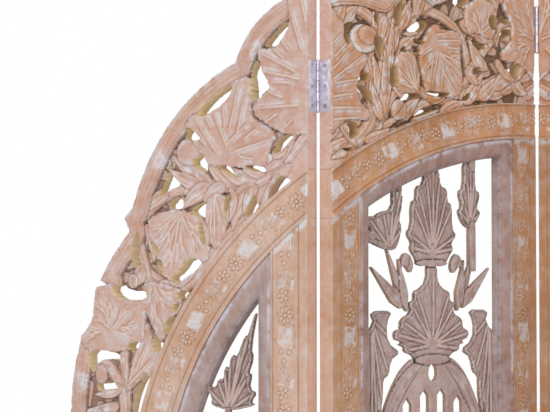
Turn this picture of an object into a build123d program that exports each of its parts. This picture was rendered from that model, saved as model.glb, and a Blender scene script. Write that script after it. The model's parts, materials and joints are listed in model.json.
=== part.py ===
"""Four-panel folding screen of carved, pierced wood that makes one scalloped arch.

Every flat profile is drawn in screen coordinates: s is the distance from the screen's centre line,
measured along the panels, and v is the height above the springing line of the arch. The two halves of
the screen mirror each other, so each profile is drawn once and laid on a left and a right panel.
"""

import os
from math import acos, atan2, cos, pi, radians, sin, sqrt

from build123d import *

os.makedirs("parts", exist_ok=True)

# ---------------------------------------------------------------- driving dimensions, millimetres
panel_width = 508.0
panel_thickness = 25.4
springing_height = 914.4  # floor to the springing line of the arch
zigzag_angle = 41.6  # degrees that each panel stands off the line of the screen

arch_half_span = 852.0  # outer edge of the arch rail at the springing line
arch_rise = 650.0  # outer edge of the arch rail above the springing line
crest_height = 264.4  # crown of the crest above the crown of the arch rail
outer_stile_width = 71.0  # the arch rail runs down into this stile
arch_rail_crown = 58.0  # depth of the arch rail at the crown
arch_rail_proud = 1.2  # the arch rail stands in front of the stiles
stile_width = 62.0
outer_hinge_stile_width = 66.8
foot_height = 60.0
bottom_rail_height = 95.0
glue_line = 0.3  # between curved edges

tenon_length = 20.0
tenon_thickness = 8.0
stile_tenon_width = 30.0
rail_tenon_width = 60.0
tenon_clearance = 0.2
tenon_root = 30.0  # length of a stile's tenon inside the stile, below the joint

moulding_width = 30.0
moulding_land = 2.0  # flat strip outside the bevel
moulding_drop = 11.0  # depth of the bevel
moulding_setback = 1.0  # behind the face of the stiles
moulding_back = 3.0  # its back face in front of the back of the stiles
moulding_rebate = 6.0  # width of the step in its back that holds the jali's edge

jali_thickness = 8.6
jali_back = 3.4
jali_fit = 0.2

crest_setback = 0.8  # behind the face of the stiles
rim_width = 30.0
border_strip = 10.0  # solid strip of the side border along its stile
border_end_bar = 16.0
border_width = 138.0  # arch rail to the scalloped edge at the springing line
border_stem_width = 9.0
border_leaf_notch = 0.6  # share of a leaf that its notches leave
scallop_bulge = 22.0
scallop_count = 3

hinge_height = 78.0
hinge_rise = 124.5  # centre of an upper hinge above the arch rail, at its pin
hinge_foot = 264.4  # centre of the lower hinge above the floor
hinge_leaf_width = 21.0
hinge_leaf_thickness = 1.5
hinge_edge_gap = 0.4  # panel edge to pin axis, along the panel
pin_offset = 3.0  # panel face to pin axis
pin_radius = 1.3
pin_clearance = 0.05
pin_overhang = 1.0
knuckle_radius = 2.5
knuckle_gap = 0.4
knuckle_count = 5
knuckle_sides = 8
bore_sides = 6
screw_head_radius = 3.0
screw_head_height = 0.4
screw_spacing = 26.0
screw_count = 3
screw_sides = 6

# ---------------------------------------------------------------- derived places
floor_v = -springing_height
border_high = arch_half_span + border_width
hinge_pitch = panel_width + 2 * hinge_edge_gap
inner_low, inner_high = hinge_edge_gap, hinge_edge_gap + panel_width
outer_low = hinge_pitch + hinge_edge_gap
rail_low_v = floor_v + foot_height
rail_top_v = rail_low_v + bottom_rail_height
tenon_back = (panel_thickness - tenon_thickness) / 2
front_pin = panel_thickness + pin_offset  # depth of a pin axis in front of the panels
crest_thickness = panel_thickness - crest_setback
pocket_depth = hinge_leaf_thickness + screw_head_height  # the leaves are let in flush
sky_v = 2 * arch_rise  # above everything
sea_s = 2 * hinge_pitch + panel_width  # beyond everything


# ---------------------------------------------------------------- placing a panel
class Panel:
    """A panel's sketch plane: local x runs along s, local y along v, on the back face of the panel."""

    def __init__(self, number, side, heading, hinge_s, hinge_z, hinge_at):
        self.number = number
        self.side = side
        along = Vector(side * cos(heading), sin(heading), 0)
        front = Vector(side * sin(heading), -cos(heading), 0)
        corner = Vector(*hinge_at) - along * hinge_s - front * hinge_z
        self.forward = side
        self.along, self.front, self.corner = along, front, corner
        self.plane = Plane(
            origin=corner + Vector(0, 0, springing_height),
            x_dir=along,
            z_dir=along.cross(Vector(0, 0, 1)),
        )

    def at(self, s, z):
        """Plan position of a point of the panel."""
        return self.corner + self.along * s + self.front * z


def plan(centre_y):
    """The four panels, standing in a zigzag about the centre hinge at (0, centre_y)."""
    fold = radians(zigzag_angle)
    panels = {}
    for side, inner, outer in ((-1, 2, 1), (1, 3, 4)):
        mate = Panel(inner, side, -fold, 0, front_pin, (0, centre_y, 0))
        pin = mate.at(hinge_pitch, -pin_offset)
        panels[inner] = mate
        panels[outer] = Panel(outer, side, fold, hinge_pitch, -pin_offset, tuple(pin))
    return panels


def screen_depth_middle():
    """Half way between the foremost and the rearmost edge of the panels, from the centre hinge."""
    inner = plan(0)[3]
    foremost = inner.at(inner_high, panel_thickness).Y
    rearmost = inner.at(inner_low, 0).Y
    return (foremost + rearmost) / 2


panels = plan(-screen_depth_middle())


def arch_rail_edge(s):
    """Height of the arch rail's outer edge above the springing line, at s."""
    return arch_rise * sqrt(1 - (s / arch_half_span) ** 2)


def hinge_levels(s):
    """Heights above the floor of the centres of the hinges whose pins stand at s."""
    return springing_height + arch_rail_edge(s) + hinge_rise, hinge_foot


# ---------------------------------------------------------------- profile helpers
def under_arch(inset, s_low, s_high, low_v):
    """The area between two uprights, from low_v up to the arch rail's inner edge less an inset."""
    half_span = arch_half_span - outer_stile_width - inset
    rise = arch_rise - arch_rail_crown - inset
    with BuildSketch() as area:
        Ellipse(half_span, rise)
        add(strip(s_low, s_high, 0, sky_v), mode=Mode.INTERSECT)
        add(strip(s_low, min(s_high, half_span), low_v, 0))
    return area.sketch


def arch_height(inset, s):
    """Height of the arch rail's inner edge, less an inset, at s."""
    half_span = arch_half_span - outer_stile_width - inset
    rise = arch_rise - arch_rail_crown - inset
    return rise * sqrt(max(0.0, 1 - (s / half_span) ** 2))


def strip(s_low, s_high, v_low, v_high):
    """A rectangle given by its limits."""
    with BuildSketch() as area:
        with Locations(((s_low + s_high) / 2, (v_low + v_high) / 2)):
            Rectangle(s_high - s_low, v_high - v_low)
    return area.sketch


def mirrored(points, middle):
    """An outline turned over about the line s = middle."""
    return [(2 * middle - s, v) for s, v in reversed(points)]


def shifted(points, ds, dv):
    """An outline moved along and up."""
    return [(s + ds, v + dv) for s, v in points]


def both_halves(half, middle):
    """A closed symmetric outline from its half, given as distances from the middle line."""
    right = [(middle + d, v) for d, v in half]
    left = [(middle - d, v) for d, v in reversed(half) if d > 0]
    return right + left


def blade(base, tip, width):
    """A slender leaf with its belly a third of the way up."""
    s0, v0 = base
    s1, v1 = tip
    length = sqrt((s1 - s0) ** 2 + (v1 - v0) ** 2)
    across = ((v0 - v1) / length * width / 2, (s1 - s0) / length * width / 2)
    mid = (s0 + (s1 - s0) * 0.35, v0 + (v1 - v0) * 0.35)
    return [
        base,
        (mid[0] + across[0], mid[1] + across[1]),
        tip,
        (mid[0] - across[0], mid[1] - across[1]),
    ]


def palmate(base, tips, notch):
    """A lobed leaf: a point at each lobe's tip and a notch between two lobes."""
    s0, v0 = base
    points = [base]
    for (s1, v1), (s2, v2) in zip(tips, tips[1:]):
        points.append((s1, v1))
        middle = ((s1 + s2) / 2, (v1 + v2) / 2)
        points.append((s0 + (middle[0] - s0) * notch, v0 + (middle[1] - v0) * notch))
    points.append(tips[-1])
    return points


class Field:
    """A rectangle for ornament: its middle line, half its width, its foot and its height."""

    def __init__(self, middle, half_width, foot, height):
        self.middle, self.half_width = middle, half_width
        self.foot, self.height = foot, height

    def fill(self, outline, drawn):
        """Stretches an outline that is drawn in another field so that it fills this one alike."""
        across = self.half_width / drawn.half_width
        up = self.height / drawn.height
        return [
            (self.middle + (s - drawn.middle) * across, self.foot + (v - drawn.foot) * up)
            for s, v in outline
        ]


def bar(panel, s_limits, z_limits, low, height, mode=Mode.ADD):
    """An upright bar given by its limits along s and z of a panel."""
    corners = [panel.at(s, z) for s, z in
               ((s_limits[0], z_limits[0]), (s_limits[1], z_limits[0]),
                (s_limits[1], z_limits[1]), (s_limits[0], z_limits[1]))]
    with BuildSketch(Plane.XY.offset(low)) as section:
        Polygon(*[(c.X, c.Y) for c in corners], align=None)
    extrude(section.sketch, amount=height, mode=mode)


def save(piece, name):
    """Label a finished piece and write it."""
    piece.part.label = name
    export_step(piece.part, f"parts/{name}.step")


class HingedEdge:
    """An upright edge of a panel that carries hinge leaves, let in from its back or its front face."""

    def __init__(self, s, turn, face_z, inward):
        self.s, self.turn = s, turn
        self.face_z, self.inward = face_z, inward

    def depth(self, below):
        """Place along s of a layer that lies below the edge's surface."""
        return self.s - self.turn * below

    def pin_s(self):
        """Place along s of the pin beside the edge."""
        return self.depth(-hinge_edge_gap)

    def cut_pockets(self, panel):
        """Lets in the hinge leaves, flush with the edge."""
        far_z = self.face_z + self.inward * hinge_leaf_width
        for level in hinge_levels(self.pin_s()):
            bar(panel, (self.depth(pocket_depth), self.depth(0)), (self.face_z, far_z),
                level - hinge_height / 2, hinge_height, Mode.SUBTRACT)


def flat_board(panel, name, profile, z_back, z_front, hinged_edges=()):
    """A flat board of one profile between two depths of a panel."""
    with BuildPart() as piece:
        with BuildSketch(panel.plane.offset(panel.forward * z_back)):
            add(profile)
        extrude(amount=panel.forward * (z_front - z_back))
        for edge in hinged_edges:
            edge.cut_pockets(panel)
    save(piece, f"panel_{panel.number}_{name}")


# ---------------------------------------------------------------- frame: stiles and rails with tenons
def stile_tenon(s_low, s_high, clearance):
    """The tenon on top of a stile, as a rectangle about the arch rail's lower edge."""
    middle = (s_low + s_high) / 2
    half = stile_tenon_width / 2 + clearance
    seat = arch_height(0, middle)
    return strip(middle - half, middle + half, seat - tenon_root, seat + tenon_length + clearance)


def rail_tenons(s_low, s_high, clearance):
    """The bottom rail's tenons, as one rectangle through both joints."""
    middle = (rail_low_v + rail_top_v) / 2
    half = rail_tenon_width / 2 + clearance
    reach = tenon_length + clearance
    return strip(s_low - reach, s_high + reach, middle - half, middle + half)


def frame_piece(panel, name, profile, thickness, tenon=None, mortises=(), hinged_edges=()):
    """A stile or rail: its board, a tenon that it carries, and the mortises and pockets cut in it."""
    with BuildPart() as piece:
        with BuildSketch(panel.plane):
            add(profile)
        extrude(amount=panel.forward * thickness)
        if tenon:
            with BuildSketch(panel.plane.offset(panel.forward * tenon_back)):
                add(tenon)
            extrude(amount=panel.forward * tenon_thickness)
        for mortise in mortises:
            with BuildSketch(panel.plane.offset(panel.forward * (tenon_back - tenon_clearance))):
                add(mortise)
            extrude(
                amount=panel.forward * (tenon_thickness + 2 * tenon_clearance), mode=Mode.SUBTRACT
            )
        for edge in hinged_edges:
            edge.cut_pockets(panel)
    save(piece, f"panel_{panel.number}_{name}")


def arch_ring(s_low, s_high):
    """The arch rail's profile over one panel."""
    with BuildSketch() as ring:
        Ellipse(arch_half_span, arch_rise)
        Ellipse(
            arch_half_span - outer_stile_width, arch_rise - arch_rail_crown, mode=Mode.SUBTRACT
        )
        add(strip(s_low, s_high, 0, sky_v), mode=Mode.INTERSECT)
    return ring.sketch


def frame(panel, s_low, s_high, name_low, name_high, hinged_edges):
    """Stiles, bottom rail and arch rail of a panel. An outer panel's far stile carries the arch's end."""
    is_outer = len(hinged_edges) == 1
    if is_outer:
        low = (s_low, s_low + outer_hinge_stile_width)
        high = (arch_half_span - outer_stile_width, arch_half_span)
    else:
        low = (s_low, s_low + stile_width)
        high = (s_high - stile_width, s_high)
    bay = (low[1], high[0])
    rail_mortise = rail_tenons(*bay, tenon_clearance)
    arch_mortises = []
    for name, limits, edges in ((name_low, low, hinged_edges[:1]), (name_high, high, hinged_edges[1:])):
        if is_outer and limits is high:
            profile = strip(*limits, floor_v, 0)
        else:
            profile = under_arch(glue_line, *limits, floor_v)
        frame_piece(
            panel, name, profile, panel_thickness, stile_tenon(*limits, 0), [rail_mortise], edges
        )
        arch_mortises.append(stile_tenon(*limits, tenon_clearance))
    frame_piece(
        panel,
        "bottom_rail",
        strip(*bay, rail_low_v, rail_top_v),
        panel_thickness,
        rail_tenons(*bay, 0),
    )
    frame_piece(
        panel,
        "arch_rail",
        arch_ring(s_low, s_high),
        panel_thickness + arch_rail_proud,
        None,
        arch_mortises,
    )
    return bay


# ---------------------------------------------------------------- bevelled moulding round the jali
def moulding(panel, bay):
    """A frame that lines the opening, with a face that slopes down to the jali."""

    def opening(inset):
        return under_arch(inset + glue_line, bay[0] + inset, bay[1] - inset, rail_top_v + inset)

    face_z = panel_thickness - moulding_setback
    with BuildPart() as piece:
        with BuildSketch(panel.plane.offset(panel.forward * moulding_back)):
            add(opening(0))
            add(opening(moulding_width), mode=Mode.SUBTRACT)
        extrude(amount=panel.forward * (face_z - moulding_back))
        with BuildSketch(panel.plane.offset(panel.forward * moulding_back)):
            add(opening(moulding_width - moulding_rebate))
        extrude(
            amount=panel.forward * (jali_back + jali_thickness + jali_fit - moulding_back),
            mode=Mode.SUBTRACT,
        )
        with BuildSketch(panel.plane.offset(panel.forward * (face_z - moulding_drop))):
            add(opening(moulding_width))
        with BuildSketch(panel.plane.offset(panel.forward * face_z)):
            add(opening(moulding_land))
        loft(ruled=True, mode=Mode.SUBTRACT)
    save(piece, f"panel_{panel.number}_moulding")


# ---------------------------------------------------------------- carved crest
class CrestBand:
    """The band that the crest fills: from the arch rail's outer edge to an ellipse through the crown.

    A place in it is a share of the way across, and a share of the way along: 0 at the springing line,
    1 at the hinge line and 2 at the crown.
    """

    def __init__(self, half_span, rise, width, height, hinge_line):
        self.half_span, self.rise = half_span, rise
        self.width, self.height = width, height
        self.hinge_line = hinge_line

    def ellipse(self, across):
        """Half span and rise of the ellipse that is a share of the way across."""
        return self.half_span + across * self.width, self.rise + across * self.height

    def hinge_turn(self, across):
        """Angle at which the hinge line meets that ellipse."""
        return acos(self.hinge_line / self.ellipse(across)[0])

    def place_of(self, s, v):
        """Shares along and across of a point, where halving finds the ellipse that runs through it."""
        low, high = -1.0, 3.0
        while high - low > 1e-9:
            across = (low + high) / 2
            a, b = self.ellipse(across)
            if (s / a) ** 2 + (v / b) ** 2 > 1:
                low = across
            else:
                high = across
        turn = atan2(v / b, s / a)
        hinge = self.hinge_turn(across)
        if turn < hinge:
            return turn / hinge, across
        return 1 + (turn - hinge) / (pi / 2 - hinge), across

    def point(self, along, across):
        """The point at a place in the band."""
        a, b = self.ellipse(across)
        hinge = self.hinge_turn(across)
        if along < 1:
            turn = along * hinge
        else:
            turn = hinge + (along - 1) * (pi / 2 - hinge)
        return a * cos(turn), b * sin(turn)


drawn_band = CrestBand(852, 650, 138, 264.4, 508.8)  # the band that the carver's drawing fills
crest_band = CrestBand(arch_half_span, arch_rise, border_width, crest_height, hinge_pitch)


def on_crest(outline):
    """A drawn outline at its place in the crest."""
    return [crest_band.point(*drawn_band.place_of(s, v)) for s, v in outline]


# The scalloped edge as drawn: the two ends of each scallop with a point between them, and the leaves.
scallops = [
    [(0, 914.4), (114, 905), (216, 868)],
    [(216, 868), (310, 850), (392, 798)],
    [(392, 798), (480, 801), (560, 775)],
    [(560, 775), (614, 738), (646, 688)],
    [(646, 688), (760, 616), (850, 471)],
    [(856, 434), (893, 393), (917, 357)],
    [(956, 266), (973, 205), (978, 150)],
    [(978, 150), (996, 76), (990, 0)],
]
edge_leaves = [
    [(850, 471), (867, 456), (856, 434)],
    [(917, 357), (902, 350), (923, 347), (930, 300), (956, 266)],
]


def screen_outline():
    """The scalloped outer edge of the crest, from the crown down to the springing line."""
    with BuildSketch() as area:
        with BuildLine():
            for scallop in scallops:
                ThreePointArc(*on_crest(scallop))
            for leaf in edge_leaves:
                Polyline(*on_crest(leaf))
            (right, foot), (left, top) = on_crest([scallops[-1][-1], scallops[0][0]])
            Polyline((right, foot), (right, -rim_width), (left, -rim_width), (left, top))
        make_face()
    return area.sketch


# Pierced ground of the outer panels' crest, from the hinge outwards and down.
outer_crest_holes = [
    [(547, 747), (571, 734), (597, 709), (578, 707), (563, 712), (546, 731)],
    [(610, 690), (621, 669), (616, 627), (604, 628), (581, 647), (592, 667), (598, 682)],
    [(650, 655), (668, 651), (701, 632), (722, 611), (708, 607), (681, 619), (652, 643)],
    [(749, 580), (736, 596), (722, 585), (709, 574), (725, 572), (745, 574)],
    [(716, 552), (703, 552), (702, 519), (714, 526), (735, 538)],
    [(768, 549), (784, 520), (803, 481), (775, 497), (749, 505), (768, 519), (773, 526)],
    [(784, 470), (767, 487), (752, 485), (743, 469), (765, 467)],
    [(737, 461), (728, 472), (702, 481), (704, 468), (706, 449)],
    [(814, 424), (803, 414), (790, 401), (806, 395)],
    [(808, 388), (788, 387), (784, 367), (800, 376)],
    [(739, 392), (707, 389), (722, 371), (745, 360), (757, 352), (776, 360), (757, 370)],
    [(836, 441), (851, 416), (855, 378), (838, 377), (834, 410)],
    [(897, 345), (874, 352), (850, 340), (820, 342), (820, 327), (850, 326), (880, 327)],
    [(863, 257), (832, 264), (835, 250), (852, 240)],
    [(942, 246), (904, 247), (880, 241), (873, 229), (903, 234), (926, 224), (928, 212), (940, 215)],
    [(930, 196), (914, 192), (888, 198), (874, 182), (897, 187), (922, 176)],
    [(810, 219), (834, 204), (851, 170), (862, 115), (862, 80), (852, 62), (842, 110), (835, 150)],
    [(762, 338), (735, 342), (745, 329), (757, 326)],
    [(771, 318), (751, 325), (763, 303)],
    [(784, 296), (759, 302), (765, 290), (782, 268)],
    [(809, 277), (785, 260), (795, 243), (808, 246)],
    [(685, 533), (657, 533), (645, 516), (631, 508), (660, 517)],
    [(637, 532), (594, 529), (583, 520), (604, 519)],
    [(566, 572), (531, 576), (556, 551), (580, 543)],
    [(564, 513), (582, 492), (585, 474), (536, 503), (553, 512)],
    [(611, 487), (629, 460), (630, 448), (600, 464), (606, 485)],
    [(665, 490), (650, 491), (662, 463), (660, 442), (670, 453)],
    [(717, 444), (708, 446), (701, 416), (705, 404), (715, 425)],
    [(906, 142), (886, 148), (874, 122), (886, 98), (903, 112)],
    [(952, 126), (928, 138), (920, 112), (928, 82), (950, 92)],
    [(908, 82), (884, 86), (876, 56), (892, 28), (908, 46)],
    [(962, 62), (930, 66), (922, 34), (936, 12), (962, 24)],
]

# Pierced ground of the inner panels' crest beside the hinge, repeated beside the centre hinge.
hinge_side_holes = [
    [(482, 728), (479, 741), (450, 748), (463, 728), (463, 712), (474, 708)],
    [(446, 657), (436, 671), (420, 673), (416, 660)],
    [(450, 646), (443, 652), (418, 650), (406, 615), (425, 633)],
    [(473, 594), (450, 596), (438, 580), (462, 565), (468, 582)],
]
centre_lift = 118  # the drawing beside the centre hinge stands this much higher

inner_crest_holes = hinge_side_holes + [
    [(410, 715), (410, 732), (383, 727), (392, 688)],
    [(367, 769), (347, 788), (337, 789), (345, 752), (352, 745)],
    [(336, 741), (312, 758), (280, 766), (272, 756), (291, 744)],
    [(320, 730), (298, 723), (282, 729), (304, 734)],
    [(350, 712), (334, 722), (329, 706)],
    [(314, 707), (300, 706), (290, 656), (303, 680)],
    [(370, 690), (352, 684), (350, 655), (372, 652)],
    [(484, 552), (468, 556), (455, 555), (466, 549)],
    [(378, 588), (356, 602), (337, 608), (352, 595)],
    [(347, 634), (334, 646), (297, 650), (308, 637)],
    [(316, 608), (295, 626), (255, 625), (292, 614)],
    [(283, 649), (278, 656), (250, 653), (220, 655), (240, 645)],
    [(197, 643), (189, 652), (168, 660), (175, 645)],
    [(172, 738), (145, 743), (126, 732), (150, 730)],
    [(168, 695), (163, 686), (140, 692), (146, 704)],
    [(200, 742), (186, 715), (190, 672), (199, 700)],
    [(408, 750), (410, 763), (396, 766), (396, 748)],
    [(330, 812), (305, 822), (285, 815), (318, 800)],
    [(262, 835), (236, 842), (222, 832), (246, 822)],
    [(205, 846), (178, 854), (158, 846), (185, 834)],
    [(214, 802), (190, 815), (172, 806), (196, 790)],
    [(142, 822), (120, 838), (100, 826), (124, 806)],
    [(128, 784), (106, 792), (98, 768), (118, 762)],
]
inner_crest_holes += [
    shifted(mirrored(hole, drawn_band.hinge_line / 2), 0, centre_lift) for hole in hinge_side_holes
]


def crest(panel, s_low, s_high, holes, hinged_edges):
    """A pierced board between the arch rail and the scalloped edge."""
    with BuildSketch() as profile:
        add(screen_outline())
        Ellipse(arch_half_span + glue_line, arch_rise + glue_line, mode=Mode.SUBTRACT)
        add(strip(s_low, s_high, 0, sky_v), mode=Mode.INTERSECT)
        for hole in holes:
            Polygon(*on_crest(hole), align=None, mode=Mode.SUBTRACT)
    flat_board(panel, "crest", profile.sketch, 0, crest_thickness, hinged_edges)


# ---------------------------------------------------------------- side border of the outer panels
# One leaf and one blade, drawn from their base in a field as wide as the border and half a wave high.
drawn_border_leaf = Field(0, 69, 0, 142)
border_leaf_tips = [(14, 66), (52, 66), (101, 27)]
border_blade_tip = (101, -45)
border_blade_width = 16


def side_border(panel):
    """A pierced upright beside the outer stile: a waving stem with leaves inside a scalloped rim."""
    low = arch_half_span + glue_line
    step = (0 - rail_low_v) / scallop_count
    middle = (low + border_high) / 2
    half_width = (border_high - low) / 2
    sway = half_width - rim_width
    quarter_waves = 4 * scallop_count
    wave = [
        (middle + sway * sin(pi * i / 2), rail_low_v + i * step / 4) for i in range(quarter_waves + 1)
    ]
    leaf = palmate((0, 0), border_leaf_tips, border_leaf_notch)
    slim_leaf = blade((0, 0), border_blade_tip, border_blade_width)
    with BuildSketch() as profile:
        with BuildLine():
            for i in range(scallop_count):
                foot = rail_low_v + i * step
                ThreePointArc(
                    (border_high, foot),
                    (border_high + scallop_bulge, foot + step / 2),
                    (border_high, foot + step),
                )
            Polyline((border_high, 0), (low, 0), (low, rail_low_v), (border_high, rail_low_v))
        make_face()
        add(
            strip(low + border_strip, border_high - rim_width / 2, rail_low_v + border_end_bar,
                  -border_end_bar),
            mode=Mode.SUBTRACT,
        )
        Polygon(
            *shifted(wave, border_stem_width / 2, 0),
            *reversed(shifted(wave, -border_stem_width / 2, 0)),
            align=None,
        )
        for i in range(2 * scallop_count):
            crest_of_wave = rail_low_v + (i + 0.5) * step / 2
            for outline in (leaf, slim_leaf):
                if i % 2 == 0:
                    outline = mirrored(outline, 0)
                place = Field(middle + (sway if i % 2 == 0 else -sway), half_width, crest_of_wave, step / 2)
                Polygon(*place.fill(outline, drawn_border_leaf), align=None)
        add(strip(low, sea_s, rail_low_v, 0), mode=Mode.INTERSECT)
    flat_board(panel, "side_border", profile.sketch, 0, crest_thickness)


# ---------------------------------------------------------------- wide jali of the inner panels
slot_pitch = 42.0
slot_width = 22.0
lantern_half_width = 94.0
lantern_base = 40.0  # foot of the upper lantern above the springing line
lantern_rail = 18.0
lantern_slots = 4
lantern_slot_top = 188.0
lantern_slot_drop = 12.0  # the outermost slots are this much lower
baluster_gap = 26.0  # from the lower lantern's rail to the tops of the long slots
tier_height = 470.0

# One tier is drawn in this field. Halves of the symmetric leaves are distances from its middle line.
# The upper tier's field reaches up to the arch rail.
drawn_tier = Field(256, 192, 40, 470)
drawn_upper_tier = Field(256, 192, 40, 519.4)
tall_leaf = [(0, 380), (38, 380), (40, 392), (62, 430), (50, 442), (50, 478), (38, 486), (38, 503),
             (19, 512), (0, 545)]
broad_leaf = [(0, 228), (44, 228), (46, 242), (84, 256), (95, 276), (76, 288), (50, 308), (58, 322),
              (44, 338), (28, 344), (12, 360), (12, 382), (0, 382)]
dome_half_width = 94
dome = [(0, 231), (20, 231), (60, 192), (dome_half_width, 149), (dome_half_width, 58), (0, 58)]
dome_arm = [(18, 232), (44, 238), (92, 200), (124, 142), (134, 100), (134, 40), (112, 40), (112, 98),
            (84, 160), (38, 204)]
eye = [(0, 228), (11, 220), (11, 205), (0, 197)]
side_leaf = [(356, 402), (338, 408), (330, 440), (338, 452), (328, 512), (352, 500), (352, 466),
             (378, 462), (436, 452), (436, 428), (393, 410)]
bay_leaf = [(348, 404), (330, 430), (332, 462), (346, 468), (346, 514), (374, 514), (374, 468),
            (388, 462), (390, 430), (372, 404)]
drooping_leaf = [(404, 310), (350, 311), (366, 290), (364, 262), (332, 246), (362, 230), (375, 206),
                 (377, 165), (400, 60), (436, 40), (436, 262), (392, 290)]
bud = [(301, 380), (309, 366), (334, 376), (330, 396), (314, 401)]
spray = [((318, 308), (368, 410), 17), ((318, 308), (406, 380), 22), ((318, 304), (338, 392), 18)]
high_leaf = shifted(mirrored(bay_leaf, drawn_tier.middle), 8, 38)
high_stem = [(144, 372), (162, 372), (162, 566), (144, 566)]


def pointed_slots(middle, count, pitch, low, top, drop):
    """Outlines of upright slots with pointed heads about a middle line, the outermost ones lower."""
    half = slot_width / 2
    outlines = []
    for i in range(count):
        s = middle + (i - (count - 1) / 2) * pitch
        peak = top - drop if i in (0, count - 1) else top
        outlines.append(
            [(s - half, low), (s + half, low), (s + half, peak - half), (s, peak), (s - half, peak - half)]
        )
    return outlines


def leaf_tier(tier, drawn, side_leaves):
    """A tall leaf over a broad leaf over a lantern, with sprays and drooping leaves on either side."""
    middle = drawn.middle
    drawn_rail = drawn.foot + lantern_rail
    widen = lantern_half_width / dome_half_width
    arms = [shifted(dome_arm, middle, 0), shifted(mirrored(dome_arm, 0), middle, 0)]
    rail = [(0, drawn.foot), (sea_s, drawn.foot), (sea_s, drawn_rail), (0, drawn_rail)]
    window = both_halves([(d * widen, v) for d, v in dome], middle)
    for outline in (both_halves(tall_leaf, middle), both_halves(broad_leaf, middle), *arms, rail, window):
        Polygon(*tier.fill(outline, drawn), align=None)
    slots = pointed_slots(
        middle, lantern_slots, slot_pitch, drawn_rail, lantern_slot_top, lantern_slot_drop
    )
    for outline in (*slots, both_halves(eye, middle)):
        Polygon(*tier.fill(outline, drawn), align=None, mode=Mode.SUBTRACT)
    for outline in (drooping_leaf, bud, *(blade(*leaf) for leaf in spray)):
        for turned in (outline, mirrored(outline, middle)):
            Polygon(*tier.fill(turned, drawn), align=None)
    for outline in side_leaves:
        Polygon(*tier.fill(outline, drawn), align=None)


def jali_board(panel, bay, ornament):
    """Pierced ornament inside a thin rim that the moulding's rebate covers."""

    def opening(inset):
        return under_arch(inset + glue_line, bay[0] + inset, bay[1] - inset, rail_top_v + inset)

    edge = moulding_width - moulding_rebate + jali_fit
    with BuildSketch() as profile:
        add(opening(edge))
        add(opening(moulding_width), mode=Mode.SUBTRACT)
        add(ornament)
        add(opening(edge), mode=Mode.INTERSECT)
    flat_board(panel, "jali", profile.sketch, jali_back, jali_back + jali_thickness)


def inner_jali(panel, bay):
    """Two tiers of leaves and lanterns over a row of long slots."""
    middle = (bay[0] + bay[1]) / 2
    half_width = (bay[1] - bay[0]) / 2
    upper = Field(middle, half_width, lantern_base, arch_height(0, middle) - lantern_base)
    lower = Field(middle, half_width, lantern_base - tier_height, tier_height)
    long_slots_width = 2 * (half_width - moulding_width)
    slots = round(long_slots_width / slot_pitch)
    with BuildSketch() as ornament:
        add(strip(*bay, rail_top_v, lower.foot + lantern_rail))
        for outline in pointed_slots(
            middle, slots, long_slots_width / slots, rail_top_v + moulding_width + lantern_rail,
            lower.foot - baluster_gap, 0,
        ):
            Polygon(*outline, align=None, mode=Mode.SUBTRACT)
        leaf_tier(upper, drawn_upper_tier, (side_leaf, high_leaf, high_stem))
        leaf_tier(lower, drawn_tier, (bay_leaf, mirrored(bay_leaf, drawn_tier.middle)))
    jali_board(panel, bay, ornament.sketch)


# ---------------------------------------------------------------- narrow jali of the outer panels
narrow_count = 3
narrow_step = 290.0
narrow_top = -90.0  # foot of the highest narrow leaf, from the springing line

# The corner leaf is drawn under the arch, and a narrow leaf with its stem and blades from its foot.
drawn_corner = Field(678.5, 102.5, 0, 592)
corner_leaf_base = (667, 158)
corner_leaf_tips = [(704, 166), (714, 197), (688, 207), (675, 228), (662, 246), (636, 276), (612, 322),
                    (622, 240), (625, 217), (616, 187), (618, 168)]
corner_leaf_notch = 0.78
corner_stem = ((678.5, 30), (667, 190), 30)
drawn_narrow = Field(0, 102.5, 0, 290)
narrow_leaf = [(0, 0), (30, 2), (44, 14), (62, 30), (50, 46), (52, 62), (36, 72), (36, 92), (0, 132)]
narrow_bud = [(0, -12), (26, -12), (26, 2), (0, 2)]
narrow_stem = [(0, -170), (9, -170), (9, 0), (0, 0)]
narrow_blades = [((0, -118), (78, 4), 18), ((0, -118), (76, -50), 20)]


def outer_jali(panel, bay):
    """A corner leaf under the arch and a column of leaves, buds and blades below it."""
    middle = (bay[0] + bay[1]) / 2
    half_width = (bay[1] - bay[0]) / 2
    corner = Field(middle, half_width, 0, arch_rise - arch_rail_crown)
    with BuildSketch() as ornament:
        for outline in (
            palmate(corner_leaf_base, corner_leaf_tips, corner_leaf_notch),
            blade(*corner_stem),
        ):
            Polygon(*corner.fill(outline, drawn_corner), align=None)
        for i in range(narrow_count):
            column = Field(middle, half_width, narrow_top - i * narrow_step, narrow_step)
            for half in (narrow_leaf, narrow_bud, narrow_stem):
                Polygon(*column.fill(both_halves(half, 0), drawn_narrow), align=None)
            for leaf in narrow_blades:
                for outline in (blade(*leaf), mirrored(blade(*leaf), 0)):
                    Polygon(*column.fill(outline, drawn_narrow), align=None)
    jali_board(panel, bay, ornament.sketch)


# ---------------------------------------------------------------- hinges
def knuckle_limits(owner):
    """Limits along the pin of the knuckles that belong to one leaf, from the hinge's centre."""
    step = hinge_height / knuckle_count
    for i in range(knuckle_count):
        if i % 2 == owner:
            low = -hinge_height / 2 + i * step
            yield low + knuckle_gap / 2, low + step - knuckle_gap / 2


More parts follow.
